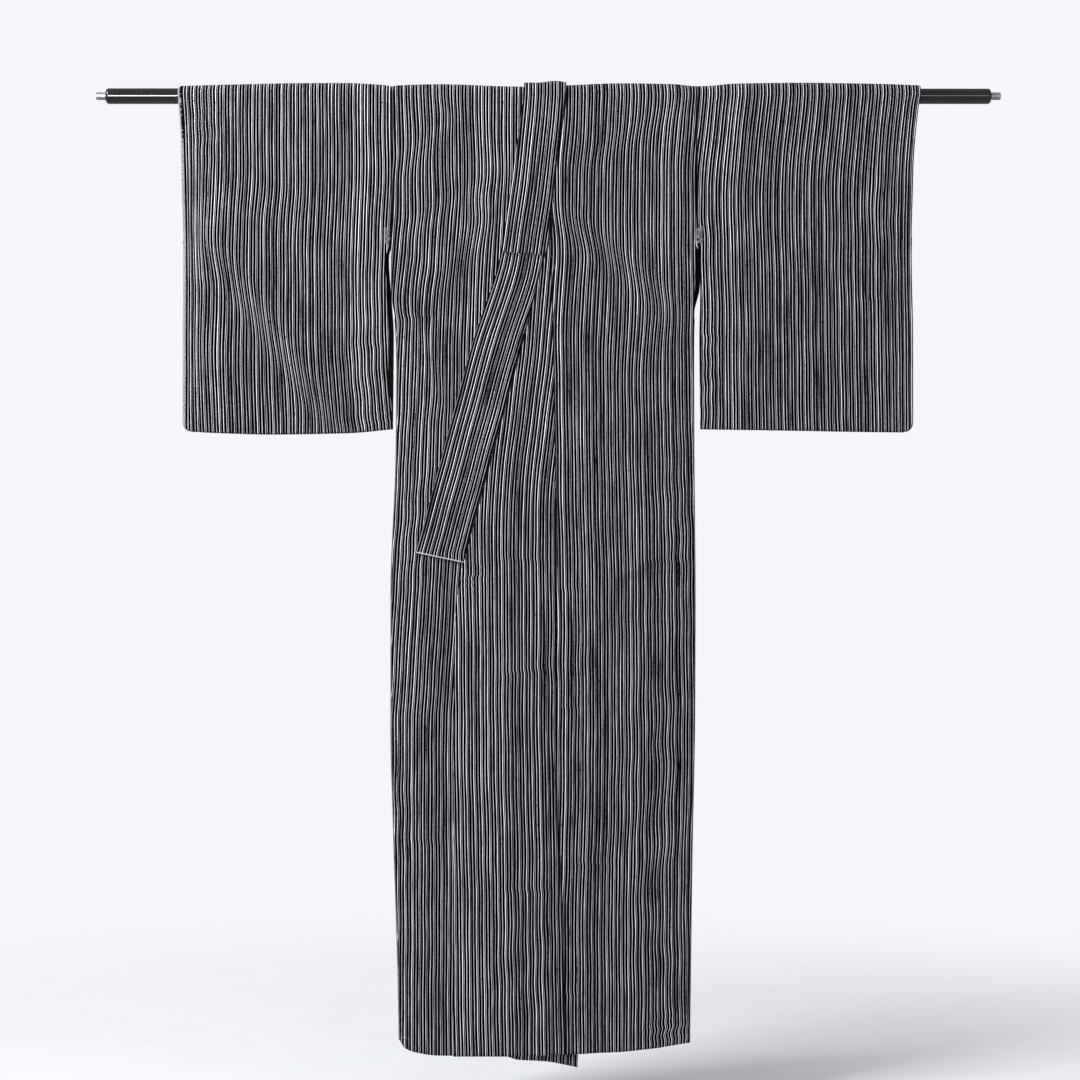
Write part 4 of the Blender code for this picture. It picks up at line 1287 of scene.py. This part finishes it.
class Shader:
    """A material's node tree, with short ways to add nodes and join them."""

    def __init__(self, name: str) -> None:
        """Start a material that has a Principled shader only."""
        self.material = bpy.data.materials.new(name)
        self.material.use_nodes = True
        self.tree = self.material.node_tree
        self.surface = self.tree.nodes["Principled BSDF"]

    def add(self, kind: str, **settings: object) -> bpy.types.Node:
        """Add a node and set its properties."""
        node = self.tree.nodes.new("ShaderNode" + kind)
        for name, value in settings.items():
            setattr(node, name, value)
        return node

    def join(self, value: object, socket: Socket) -> None:
        """Feed a socket with another socket or a constant."""
        if isinstance(value, Socket):
            self.tree.links.new(value, socket)
        else:
            socket.default_value = value

    def maths(self, operation: str, *values: object) -> Socket:
        """Add a Math node and return its result."""
        node = self.add("Math", operation=operation)
        for value, socket in zip(values, node.inputs):
            self.join(value, socket)
        return node.outputs[0]

    def vector(self, x: object, y: object, z: object = 0.0) -> Socket:
        """Combine three numbers into a vector."""
        node = self.add("CombineXYZ")
        for value, socket in zip((x, y, z), node.inputs):
            self.join(value, socket)
        return node.outputs[0]

    def noise(self, u: Socket, v: Socket, across: float, along: float) -> Socket:
        """Flat noise of about 0 to 1, with its own scale on each of two numbers."""
        node = self.add("TexNoise", noise_dimensions="2D")
        where = self.vector(self.maths("MULTIPLY", u, across), self.maths("MULTIPLY", v, along))
        for name, value in (("Vector", where), ("Scale", 1.0), ("Detail", 2.0)):
            self.join(value, node.inputs[name])
        return node.outputs["Fac"]

    def grain(self, scale: tuple[float, float, float], detail: float = 2.0) -> Socket:
        """Solid noise of about 0 to 1 on the piece's own coordinates, with a scale for each axis."""
        stretch, node = self.add("Mapping"), self.add("TexNoise")
        self.join(self.add("TexCoord").outputs["Object"], stretch.inputs["Vector"])
        self.join(scale, stretch.inputs["Scale"])
        for name, value in (("Vector", stretch.outputs[0]), ("Scale", 1.0), ("Detail", detail)):
            self.join(value, node.inputs[name])
        return node.outputs["Fac"]

    def ramp(self, value: Socket, stops: tuple) -> Socket:
        """Turn a number into a colour.

        Args:
            value: The number.
            stops: Pairs of a place from 0 to 1 and a colour.

        Returns:
            The colour.
        """
        node = self.add("ValToRGB")
        elements = node.color_ramp.elements
        while len(elements) < len(stops):
            elements.new(1.0)
        for element, (place, colour) in zip(elements, stops):
            element.position = place
            element.color = (*colour, 1.0)
        self.join(value, node.inputs["Fac"])
        return node.outputs["Color"]

    def range(self, value: object, low: float, high: float, to_low: float, to_high: float) -> Socket:
        """Map a number's range to another, held at both ends."""
        node = self.add("MapRange")
        for part, socket in zip((value, low, high, to_low, to_high), node.inputs):
            self.join(part, socket)
        return node.outputs[0]

    def mix(self, share: object, first: object, second: object, blend: str = "MIX") -> Socket:
        """Mix two colours."""
        node = self.add("Mix", data_type="RGBA", blend_type=blend)
        for value, index in ((share, 0), (first, 6), (second, 7)):
            self.join((*value, 1.0) if isinstance(value, tuple) else value, node.inputs[index])
        return node.outputs[2]

    def bump(self, height: Socket, distance: float, strength: float,
             before: Socket | None = None) -> Socket:
        """Add a Bump node and return its normal."""
        node = self.add("Bump")
        node.inputs["Distance"].default_value = distance
        node.inputs["Strength"].default_value = strength
        self.join(height, node.inputs["Height"])
        if before is not None:
            self.join(before, node.inputs["Normal"])
        return node.outputs["Normal"]

    def finish(self, **values: object) -> Material:
        """Set the Principled shader's sockets and return the material."""
        for name, value in values.items():
            self.join(value, self.surface.inputs[name.replace("_", " ")])
        return self.material


@dataclass(frozen=True)
class StripedCloth:
    """A matt plain weave with fine warp stripes: a white line near a grey one, then a light one."""
    name: str = "striped_cloth"
    repeat: float = 0.0117
    black: tuple[float, float, float] = (0.0004, 0.0004, 0.0010)
    gap: tuple[float, float, float] = (0.0030, 0.0030, 0.0045)
    lines: tuple[Line, ...] = (
        Line(0.165, 0.214, (0.930, 0.927, 0.985)), Line(0.379, 0.424, (0.400, 0.395, 0.450)),
        Line(0.763, 0.808, (0.690, 0.684, 0.765)),
    )
    softness: float = 0.015
    # The colour of the highlight painted across the collar's folded end
    painted_highlight_colour: tuple[float, float, float] = (0.640, 0.636, 0.680)
    selvage: float = 0.0
    thread: float = 0.00075
    roughness: float = 0.92

    def stripes(self, shader: Shader, u: Socket) -> Socket:
        """Colour one repeat of the warp.

        Args:
            shader: The material being made.
            u: Metres across the stripes.

        Returns:
            The colour.
        """
        place = shader.maths("FRACT", shader.maths("DIVIDE", u, self.repeat))
        stops = [(0.0, self.black)]
        for index, line in enumerate(self.lines):
            before, after = (self.gap if index == 1 else self.black), (self.gap if index == 0 else self.black)
            stops += [(line.start - self.softness, before), (line.start + self.softness, line.colour),
                      (line.end - self.softness, line.colour), (line.end + self.softness, after)]
        return shader.ramp(place, (*stops, (1.0, self.black)))

    def yarns(self, shader: Shader, u: Socket, v: Socket) -> Socket:
        """How light each yarn is, uneven from line to line and along each line, with slow clouds of painted
        light and shade over the cloth.

        Args:
            shader: The material being made.
            u: Metres across the stripes.
            v: Metres along them.

        Returns:
            A factor around 1.
        """
        line = shader.add("TexWhiteNoise", noise_dimensions="1D")
        shader.join(shader.maths("FLOOR", shader.maths("DIVIDE", u, self.repeat / 3)), line.inputs["W"])
        light = shader.range(line.outputs["Value"], 0.0, 1.0, 0.56, 1.40)
        # The clouds are painted light and shade: slow patches that lighten and darken the cloth in place of
        # soft fold shading.
        streaks, painted_shade_clouds, flecks = (300.0, 16.0, 0.3, 0.34), (42.0, 8.0, 0.25, 0.20), (420.0, 330.0, 0.3, 0.18)
        for across, along, low, swing in (streaks, painted_shade_clouds, flecks):
            part = shader.range(shader.noise(u, v, across, along), low, 1.0 - low, -swing, swing)
            light = shader.maths("ADD", light, part)
        return light

    def slubs(self, shader: Shader, u: Socket, v: Socket) -> Socket:
        """Where thick dark yarn ends show as short ticks across the stripes, 0 to 1.

        Args:
            shader: The material being made.
            u: Metres across the stripes.
            v: Metres along them.

        Returns:
            The ticks' strength.
        """
        cell = shader.add("TexVoronoi", voronoi_dimensions="2D")
        shader.join(shader.vector(shader.maths("DIVIDE", u, 0.030), shader.maths("DIVIDE", v, 0.017)),
                    cell.inputs["Vector"])
        cell.inputs["Scale"].default_value = 1.0
        chance = shader.add("SeparateColor")
        shader.join(cell.outputs["Color"], chance.inputs[0])
        near_middle = shader.range(cell.outputs["Distance"], 0.030, 0.075, 1.0, 0.0)
        return shader.maths("MULTIPLY", near_middle, shader.range(chance.outputs[0], 0.55, 0.95, 0.0, 0.95))

    def material(self) -> Material:
        """Make the cloth's material."""
        shader = Shader(self.name)
        weave = shader.add("UVMap", uv_map="weave")
        split = shader.add("SeparateXYZ")
        shader.join(weave.outputs[0], split.inputs[0])
        u, v = split.outputs[0], split.outputs[1]
        drift = shader.range(shader.noise(u, v, 70.0, 11.0), 0.25, 0.75, -0.00035, 0.00035)
        u = shader.maths("ADD", u, drift)
        light = self.yarns(shader, u, v)
        colour = shader.mix(1.0, self.stripes(shader, u), shader.vector(light, light, light), "MULTIPLY")
        if self.selvage > 0.0:
            colour = self.add_selvage(shader, u, v, colour)
        colour = shader.mix(self.slubs(shader, u, v), colour, self.black)
        # The seam attribute paints shade: the cloth is mixed towards black near seams, fold edges and the
        # half rounds' middles.
        seam = shader.add("Attribute", attribute_name="seam").outputs["Fac"]
        colour = shader.mix(shader.range(seam, 0.12, 0.80, 0.0, 0.90), colour, self.black)
        # Below 0 the seam attribute paints a pale highlight on the collar's end.
        colour = shader.mix(shader.range(seam, -1.0, -0.2, 0.70, 0.0), colour, self.painted_highlight_colour)
        weft, warp = (shader.maths("SINE", shader.maths("MULTIPLY", way, 2 * math.pi / self.thread))
                      for way in (v, u))
        normal = shader.bump(shader.maths("MULTIPLY", weft, warp), 0.00006, 0.35)
        normal = shader.bump(shader.noise(u, v, 260.0, 60.0), 0.0005, 0.30, normal)
        return shader.finish(Base_Color=colour, Roughness=self.roughness, Normal=normal,
                             Specular_IOR_Level=0.03, Sheen_Weight=0.008, Sheen_Roughness=0.50)

    def add_selvage(self, shader: Shader, u: Socket, v: Socket, colour: Socket) -> Socket:
        """Lay a speckled grey selvage along the edge where U is 0, with black marks near the shoulder.

        Args:
            shader: The material being made.
            u: Metres from the edge.
            v: Metres along it.
            colour: The cloth's colour.

        Returns:
            The colour with the selvage.
        """
        band = shader.ramp(shader.noise(u, v, 700.0, 420.0),
                           ((0.34, (0.110, 0.112, 0.120)), (0.50, (0.250, 0.254, 0.264)),
                            (0.66, (0.370, 0.374, 0.386))))
        gaps = shader.range(shader.noise(u, v, 60.0, 150.0), 0.36, 0.46, 0.0, 1.0)
        high = shader.range(shader.maths("ABSOLUTE", v), 0.068, 0.080, 1.0, 0.0)
        inside, line, beyond = (shader.range(u, self.selvage * low, self.selvage * end, 0.0, 1.0)
                                for low, end in ((0.40, 0.48), (0.80, 0.86), (0.96, 1.04)))
        marks = shader.maths("MULTIPLY", inside, shader.maths("MULTIPLY", gaps, high))
        band = shader.mix(shader.maths("MAXIMUM", marks, line), band, self.black)
        return shader.mix(beyond, band, colour)


@dataclass(frozen=True)
class PlainCloth:
    """A plain cotton in one colour, with a fine weave."""
    name: str
    dark: tuple[float, float, float]
    light: tuple[float, float, float]
    roughness: float = 0.9

    def material(self) -> Material:
        """Make the cotton's material."""
        shader = Shader(self.name)
        colour = shader.ramp(shader.grain((60.0, 60.0, 60.0)), ((0.3, self.dark), (0.7, self.light)))
        weave = shader.bump(shader.grain((1400.0, 1400.0, 1400.0)), 0.0001, 0.3)
        return shader.finish(Base_Color=colour, Roughness=self.roughness, Normal=weave,
                             Specular_IOR_Level=0.2)


@dataclass(frozen=True)
class Lacquer:
    """Polished black lacquer on turned wood, with a little dust."""
    name: str = "black_lacquer"
    deep: tuple[float, float, float] = (0.0030, 0.0030, 0.0040)
    dusty: tuple[float, float, float] = (0.0100, 0.0100, 0.0112)

    def material(self) -> Material:
        """Make the lacquer's material."""
        shader = Shader(self.name)
        dust = shader.grain((8.0, 30.0, 30.0), 3.0)
        colour = shader.ramp(dust, ((0.35, self.deep), (0.75, self.dusty)))
        return shader.finish(Base_Color=colour, Roughness=shader.range(dust, 0.3, 0.7, 0.12, 0.15), IOR=1.42)


@dataclass(frozen=True)
class PegMetal:
    """Dull drawn steel."""
    name: str = "peg_steel"
    dark: tuple[float, float, float] = (0.14, 0.14, 0.15)
    light: tuple[float, float, float] = (0.28, 0.28, 0.30)

    def material(self) -> Material:
        """Make the steel's material."""
        shader = Shader(self.name)
        marks = shader.grain((900.0, 60.0, 60.0))
        colour = shader.ramp(marks, ((0.3, self.dark), (0.7, self.light)))
        return shader.finish(Base_Color=colour, Metallic=0.85,
                             Roughness=shader.range(marks, 0.3, 0.7, 0.36, 0.52))


@dataclass
class HangingRod:
    """The rod, turned with rounded shoulders and a peg at each end."""
    name: str = "turned_rod"
    radius: float = ROD_RADIUS
    half_length: float = ROD_HALF_LENGTH
    end_round: float = ROD_END_ROUND
    peg_radius: float = PEG_RADIUS
    peg_end: float = PEG_END
    peg_chamfer: float = 0.0006
    segments: int = 96
    round_steps: int = 8

    def profile(self) -> list[tuple[float, float]]:
        """Radii and places along the axis, from one end to the other."""
        half = [(self.peg_radius - self.peg_chamfer, self.peg_end),
                (self.peg_radius, self.peg_end - self.peg_chamfer), (self.peg_radius, self.half_length)]
        for step in range(self.round_steps + 1):
            angle = math.pi / 2 * step / self.round_steps
            half.append((self.radius - self.end_round * (1 - math.sin(angle)),
                         self.half_length - self.end_round * (1 - math.cos(angle))))
        return half + [(radius, -place) for radius, place in reversed(half)]

    def build(self, lacquer: Material, steel: Material) -> Piece:
        """Turn the profile about the rod's axis.

        Args:
            lacquer: The rod's finish.
            steel: The pegs' finish.

        Returns:
            The closed rod.
        """
        profile = self.profile()
        angles = [2 * math.pi * step / self.segments for step in range(self.segments)]
        points = [(place, radius * math.cos(angle), radius * math.sin(angle))
                  for radius, place in profile for angle in angles]
        points += [(self.peg_end, 0.0, 0.0), (-self.peg_end, 0.0, 0.0)]
        faces, slots = [], []
        peg_limit = self.peg_radius * 1.01
        for ring in range(len(profile) - 1):
            start, following = ring * self.segments, (ring + 1) * self.segments
            slot = int(max(profile[ring][0], profile[ring + 1][0]) <= peg_limit)
            for step in range(self.segments):
                turned = (step + 1) % self.segments
                faces.append((start + step, start + turned, following + turned, following + step))
                slots.append(slot)
        last = (len(profile) - 1) * self.segments
        for step in range(self.segments):
            turned = (step + 1) % self.segments
            faces.append((step, len(points) - 2, turned))
            faces.append((last + step, last + turned, len(points) - 1))
            slots += [1, 1]
        mesh = bpy.data.meshes.new(self.name)
        mesh.from_pydata(points, [], faces)
        mesh.materials.append(lacquer)
        mesh.materials.append(steel)
        mesh.polygons.foreach_set("material_index", slots)
        mesh.shade_smooth()
        mesh.set_sharp_from_angle(angle=math.radians(35))
        return in_scene(self.name, mesh)


class Tree:
    """A Geometry Nodes tree, with short ways to add nodes and inputs."""

    def __init__(self, name: str) -> None:
        """Start a tree that takes a geometry and gives one back."""
        self.tree = bpy.data.node_groups.new(name, "GeometryNodeTree")
        self.tree.interface.new_socket("Path", in_out="INPUT", socket_type="NodeSocketGeometry")
        self.tree.interface.new_socket("Sewing", in_out="OUTPUT", socket_type="NodeSocketGeometry")
        self.source = self.tree.nodes.new("NodeGroupInput")
        self.result = self.tree.nodes.new("NodeGroupOutput")

    def input(self, name: str, kind: str) -> Socket:
        """Add a named input and return its socket inside the tree."""
        self.tree.interface.new_socket(name, in_out="INPUT", socket_type="NodeSocket" + kind)
        return self.source.outputs[name]

    def add(self, kind: str, inputs: dict[str | int, object], **settings: object) -> bpy.types.Node:
        """Add a node.

        Args:
            kind: The node's type name.
            inputs: Sockets or constants for its inputs.
            **settings: The node's properties.

        Returns:
            The node.
        """
        node = self.tree.nodes.new(kind)
        for name, value in settings.items():
            setattr(node, name, value)
        for name, value in inputs.items():
            if isinstance(value, Socket):
                self.tree.links.new(value, node.inputs[name])
            else:
                node.inputs[name].default_value = value
        return node

    def maths(self, operation: str, first: object, second: object) -> Socket:
        """Add a Math node and return its result."""
        return self.add("ShaderNodeMath", {0: first, 1: second}, operation=operation).outputs[0]


def stitching_tree() -> bpy.types.NodeTree:
    """A tree that lays arched thread stitches along a path, each turned by an even and a random angle."""
    tree = Tree("stitches_on_path")
    pitch, length = tree.input("Pitch", "Float"), tree.input("Stitch Length", "Float")
    radius, lie = tree.input("Thread Radius", "Float"), tree.input("Lie", "Float")
    spread, seed = tree.input("Spread", "Float"), tree.input("Seed", "Int")
    finish = tree.input("Finish", "Material")
    start = tree.add("ShaderNodeCombineXYZ", {"X": tree.maths("MULTIPLY", length, -0.5)}).outputs[0]
    middle = tree.add("ShaderNodeCombineXYZ", {"Z": tree.maths("MULTIPLY", radius, 3.0)}).outputs[0]
    end = tree.add("ShaderNodeCombineXYZ", {"X": tree.maths("MULTIPLY", length, 0.5)}).outputs[0]
    arch = tree.add("GeometryNodeCurveQuadraticBezier",
                    {"Resolution": 5, "Start": start, "Middle": middle, "End": end}).outputs[0]
    profile = tree.add("GeometryNodeCurvePrimitiveCircle", {0: 6, 4: radius}).outputs[0]
    thread = tree.add("GeometryNodeCurveToMesh", {"Curve": arch, "Profile Curve": profile, "Fill Caps": True})
    curve = tree.add("GeometryNodeMeshToCurve", {0: tree.source.outputs["Path"]}).outputs[0]
    places = tree.add("GeometryNodeResampleCurve", {"Curve": curve, 3: pitch}, mode="LENGTH")
    tangent = tree.add("GeometryNodeInputTangent", {}).outputs[0]
    along = tree.add("FunctionNodeAlignRotationToVector", {"Vector": tangent}, axis="X").outputs[0]
    facing = tree.add("FunctionNodeAlignRotationToVector", {"Rotation": along, "Vector": (0.0, -1.0, 0.0)},
                      axis="Z", pivot_axis="X").outputs[0]
    low, high = tree.maths("SUBTRACT", lie, spread), tree.maths("ADD", lie, spread)
    chance = tree.add("FunctionNodeRandomValue", {2: low, 3: high, "Seed": seed}, data_type="FLOAT")
    turn = tree.add("ShaderNodeCombineXYZ", {"Z": chance.outputs[1]}).outputs[0]
    turn = tree.add("FunctionNodeEulerToRotation", {0: turn}).outputs[0]
    facing = tree.add("FunctionNodeRotateRotation", {0: facing, 1: turn}, rotation_space="LOCAL").outputs[0]
    laid = tree.add("GeometryNodeInstanceOnPoints", {"Points": places.outputs[0], "Rotation": facing,
                                                     "Instance": thread.outputs[0]}).outputs[0]
    real = tree.add("GeometryNodeRealizeInstances", {0: laid}).outputs[0]
    done = tree.add("GeometryNodeSetMaterial", {"Geometry": real, "Material": finish}).outputs[0]
    tree.tree.links.new(done, tree.result.inputs[0])
    return tree.tree


@dataclass
class StitchRow:
    """A row of stitches along a short path on the cloth."""
    name: str
    path: list[Vector]
    pitch: float
    length: float
    finish: Material
    lie: float = 0.0
    spread: float = 0.06
    radius: float = 0.00035
    seed: int = 7

    def build(self, tree: bpy.types.NodeTree) -> Piece:
        """Sew the row.

        Args:
            tree: The tree that lays stitches along a path.

        Returns:
            The stitches as one plain mesh.
        """
        mesh = bpy.data.meshes.new(self.name + "_path")
        links = [(i, i + 1) for i in range(len(self.path) - 1)]
        mesh.from_pydata([tuple(point) for point in self.path], links, [])
        guide = in_scene(self.name + "_path", mesh)
        sewing = guide.modifiers.new("Sewing", "NODES")
        sewing.node_group = tree
        values = {"Pitch": self.pitch, "Stitch Length": self.length, "Thread Radius": self.radius,
                  "Lie": self.lie, "Spread": self.spread, "Seed": self.seed, "Finish": self.finish}
        for socket in tree.interface.items_tree:
            if socket.in_out == "INPUT" and socket.name in values:
                sewing[socket.identifier] = values[socket.name]
        laid = guide.evaluated_get(bpy.context.evaluated_depsgraph_get())
        sewn = bpy.data.meshes.new_from_object(laid)
        sewn.name = self.name
        sewn.shade_smooth()
        bpy.data.objects.remove(guide, do_unlink=True)
        return in_scene(self.name, sewn)


@dataclass
class Studio:
    """The camera, the light and the floor."""
    distance: float = 4.0
    middle_x: float = -0.0137
    middle_z: float = -0.7184
    view_width: float = 1.7420
    cloth_front: float = 0.014
    floor_z: float = -1.640
    paper: tuple[float, float, float] = (0.912, 0.921, 0.947)
    fill: float = 0.70

    def camera(self) -> None:
        """Place the camera square to the front, framed as in the photograph."""
        lens = bpy.data.cameras.new("camera")
        lens.lens = lens.sensor_width * (self.distance - self.cloth_front) / self.view_width
        camera = in_scene("camera", lens)
        camera.location = (self.middle_x, -self.distance, self.middle_z)
        camera.rotation_euler = (math.pi / 2, 0.0, 0.0)
        bpy.context.scene.camera = camera

    def world(self) -> None:
        """Make the pale surroundings, brighter to the camera than as a light."""
        world = bpy.data.worlds.new("pale_room")
        world.use_nodes = True
        nodes, links = world.node_tree.nodes, world.node_tree.links
        seen = nodes["Background"]
        seen.inputs["Color"].default_value = (*self.paper, 1.0)
        lit = nodes.new("ShaderNodeBackground")
        lit.inputs["Color"].default_value = (*self.paper, 1.0)
        lit.inputs["Strength"].default_value = self.fill
        path, mix = nodes.new("ShaderNodeLightPath"), nodes.new("ShaderNodeMixShader")
        links.new(path.outputs["Is Camera Ray"], mix.inputs[0])
        links.new(lit.outputs[0], mix.inputs[1])
        links.new(seen.outputs[0], mix.inputs[2])
        links.new(mix.outputs[0], nodes["World Output"].inputs["Surface"])
        bpy.context.scene.world = world

    def lamp(self, name: str, place: tuple[float, float, float], aim: tuple[float, float, float],
             size: tuple[float, float], energy: float) -> Piece:
        """Add an area light.

        Args:
            name: The light's name.
            place: Where it stands.
            aim: The point it faces.
            size: Its width and height.
            energy: Its power in watts.

        Returns:
            The light.
        """
        light = bpy.data.lights.new(name, "AREA")
        light.shape = "RECTANGLE"
        light.size, light.size_y = size
        light.energy = energy
        lamp = in_scene(name, light)
        lamp.location = place
        lamp.rotation_euler = (Vector(aim) - Vector(place)).to_track_quat("-Z", "Y").to_euler()
        return lamp

    def lights(self) -> None:
        """Light the cloth softly from the upper left, and draw a thin line along the rod."""
        self.lamp("key", (-2.6, -1.9, 2.0), (0.0, 0.0, -0.7), (1.3, 1.3), 292.0)
        self.lamp("back_fill", (1.8, 3.2, 1.2), (0.0, 0.0, -0.7), (1.8, 1.8), 45.0)
        for name, x, energy in (("left_strip", -1.35, 190.0), ("right_strip", 1.45, 13.0)):
            strip = self.lamp(name, (x, -3.6, -0.20), (x / 2, 0.0, 0.0), (1.3, 0.60), energy)
            strip.visible_diffuse = False
            strip.visible_camera = False

    def floor(self) -> Piece:
        """Lay a pale floor that fades out round the object."""
        mesh = bpy.data.meshes.new("floor")
        count, reach = 64, 2.2
        ring = [(reach * math.cos(2 * math.pi * i / count), reach * math.sin(2 * math.pi * i / count),
                 self.floor_z) for i in range(count)]
        mesh.from_pydata(ring, [], [tuple(range(count))])
        shader = Shader("pale_floor")
        place = shader.add("SeparateXYZ")
        shader.join(shader.add("TexCoord").outputs["Object"], place.inputs[0])
        flat = shader.vector(place.outputs[0], place.outputs[1])
        length = shader.add("VectorMath", operation="LENGTH")
        shader.join(flat, length.inputs[0])
        fade = shader.range(length.outputs["Value"], 0.5, 2.1, 1.0, 0.0)
        grain = shader.noise(place.outputs[0], place.outputs[1], 9.0, 9.0)
        tone = shader.ramp(grain, ((0.3, (0.519, 0.529, 0.548)), (0.7, (0.534, 0.544, 0.563))))
        mesh.materials.append(shader.finish(Base_Color=tone, Roughness=0.8, Alpha=fade))
        return in_scene("floor", mesh)

    def build(self) -> None:
        """Set the whole studio up."""
        self.camera()
        self.world()
        self.lights()
        self.floor()
        bpy.context.scene.view_settings.view_transform = "Standard"


def on_front(x: float, drop: float, layer: float) -> Vector:
    """A point on the outer face of a front layer whose level is given."""
    place = front_points(np.array(x), np.array(drop), np.array(layer), np.array(0.0))
    return Vector(place) + Vector((0.0, -CLOTH / 2, 0.0))


def dress(piece: Piece, node: str) -> None:
    """Hide a node's solid so that a piece stands for it, and let the piece ride on the body."""
    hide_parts(node)
    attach(piece, BODY)
    log.info("%s: %d faces", piece.name, len(piece.data.polygons))


def cut(pattern: BodyPanel | Okumi | CollarBand | Sleeve, finishes: list[Material], rests_on: str,
        **area: float) -> None:
    """Args:
        pattern: The piece's pattern.
        finishes: The outside's material, then the inside's.
        rests_on: What it hangs on; not used.
        **area: Its flat area, where it isn't a rectangle; not used.
    """
    piece = pattern.build(finishes)
    dress(piece, pattern.name)


def make_cloth(stripes: Material, cuffed: Material, dark_inside: Material) -> None:
    """Make every cut piece.

    Args:
        stripes: The cloth's finish.
        cuffed: The same with a selvage at the cuff.
        dark_inside: The inside's finish.
    """
    with_dark_inside = [stripes, dark_inside]
    cut(BodyPanel("body_panel_right", Wearer.RIGHT, NECK_RIGHT, UNDER_HEM, UNDER_COLLAR_SEAM,
                  UNDER_OKUMI_SEAM, RIGHT_FRONT_BENDS, upper=False, phase=0.4021), with_dark_inside, "turned_rod")
    cut(BodyPanel("body_panel_left", Wearer.LEFT, NECK_LEFT, UPPER_HEM, COLLAR_SEAM, UPPER_OKUMI_SEAM,
                  LEFT_FRONT_BENDS, upper=True, phase=0.3984), with_dark_inside, "turned_rod")
    cut(Okumi("okumi_left", Wearer.LEFT, COLLAR_SEAM, UPPER_FRONT_EDGE, UPPER_OKUMI_SEAM, UPPER_HEM,
              LEFT_OVERLAP_BENDS, phase=0.4052, flat=(0.175, 1.365)),
        with_dark_inside, "body_panel_left_cloth", area=0.180)
    cut(Okumi("okumi_right", Wearer.RIGHT, UNDER_COLLAR_SEAM, UNDER_FRONT_EDGE, UNDER_OKUMI_SEAM, UNDER_HEM,
              RIGHT_FRONT_BENDS, phase=0.4009, flat=(0.152, 1.380)),
        with_dark_inside, "body_panel_right_cloth", area=0.150)
    bands = (
        CollarBand("collar_left", Wearer.LEFT, COLLAR_FOLD, COLLAR_SEAM, collar_level, COLLAR_END, 0.0,
                   COLLAR_CLOTH, 0.4000, (0.078, 0.86), painted_end_highlight=True),
        CollarBand("collar_right", Wearer.RIGHT, UNDER_COLLAR_FOLD, UNDER_COLLAR_SEAM, under_collar_level,
                   COLLAR_END, 0.0, COLLAR_CLOTH, 0.4030, (0.076, 0.86)),
        CollarBand("overcollar", Wearer.LEFT, COLLAR_FOLD, COLLAR_SEAM, collar_level, OVERCOLLAR_END,
                   OVERCOLLAR_STEP, OVERCOLLAR_CLOTH, 0.4043, (0.071, 0.36)),
    )
    for band in bands:
        cut(band, [stripes, stripes], "turned_rod")
    cut(Sleeve("sleeve_right", Wearer.RIGHT, RIGHT_CUFF, RIGHT_FURI_FRONT, RIGHT_FURI_BACK, RIGHT_SLEEVE_HEM,
               RIGHT_SLEEVE, RIGHT_SLEEVE_BENDS, cuff_rest=-0.5980), [cuffed, dark_inside], "turned_rod")
    cut(Sleeve("sleeve_left", Wearer.LEFT, LEFT_CUFF, LEFT_FURI_FRONT, LEFT_FURI_BACK, LEFT_SLEEVE_HEM,
               LEFT_SLEEVE, LEFT_SLEEVE_BENDS, cuff_rest=0.6010), with_dark_inside, "turned_rod")


def make_sewing(light: Material, dark: Material) -> None:
    """Sew the bar tacks, the overcollar's end and the stitches that show.

    Args:
        light: The light thread.
        dark: The dark thread.
    """
    rows = []
    for side, x in (("right", -0.2605), ("left", 0.2440)):
        for tone, finish, offset, seed in (("light", light, 0.0, 3), ("dark", dark, 0.0012, 11)):
            ends = [on_front(x + offset, drop, 0.0006) for drop in (0.2155, 0.2380)]
            rows.append(StitchRow(f"bar_tack_{side}_{tone}", ends, pitch=0.0028, length=0.0100, finish=finish,
                                  lie=math.pi / 2, spread=0.55, radius=0.0005, seed=seed))
    level = UPPER_LEVEL + OVERCOLLAR_STEP
    places = [(x, 0.2560 + 0.010 * (x + 0.078) / 0.07) for x in np.linspace(-0.0765, -0.0085, 12)]
    rows.append(StitchRow("overcollar_stitches", [on_front(x, drop, level) for x, drop in places],
                          pitch=0.0042, length=0.0024, finish=dark, radius=0.0004))
    for name, x, drops, lie, seed in (("basting_upper", 0.0105, (0.2780, 0.2815), 0.5, 5),
                                      ("basting_lower", -0.0105, (0.3235, 0.3270), 0.9, 9)):
        specks = [on_front(x, drop, UPPER_LEVEL) for drop in drops]
        rows.append(StitchRow(name, specks, pitch=0.0060, length=0.0030, finish=light, lie=lie, seed=seed))
    hem = [on_front(x, 1.5225 + 0.16 * (x + 0.236), 0.0) for x in (-0.2355, -0.2280, -0.2205)]
    rows.append(StitchRow("hem_stitches", hem, pitch=0.0040, length=0.0022, finish=light, radius=0.0003))
    tree = stitching_tree()
    for row in rows:
        piece = row.build(tree)
        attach(piece, BODY)
        log.info("%s: %d faces", piece.name, len(piece.data.polygons))


def main() -> None:
    """Build the studio, the rod, the cloth and the sewing in order."""
    logging.basicConfig(level=logging.INFO, format="%(message)s")
    Studio().build()
    rod = HangingRod().build(Lacquer().material(), PegMetal().material())
    dress(rod, "rod")
    stripes = StripedCloth().material()
    cuffed = StripedCloth(name="striped_cloth_with_selvage", selvage=0.0055).material()
    # Every inside face is near black; the dark seen through the openings comes from this colour.
    dark_inside = PlainCloth("near_black_inside", (0.006, 0.006, 0.007), (0.016, 0.016, 0.018)).material()
    make_cloth(stripes, cuffed, dark_inside)
    light = PlainCloth("light_thread", (0.22, 0.22, 0.24), (0.48, 0.48, 0.51)).material()
    dark = PlainCloth("dark_thread", (0.006, 0.006, 0.008), (0.020, 0.020, 0.024)).material()
    make_sewing(light, dark)


if __name__ == "__main__":
    main()
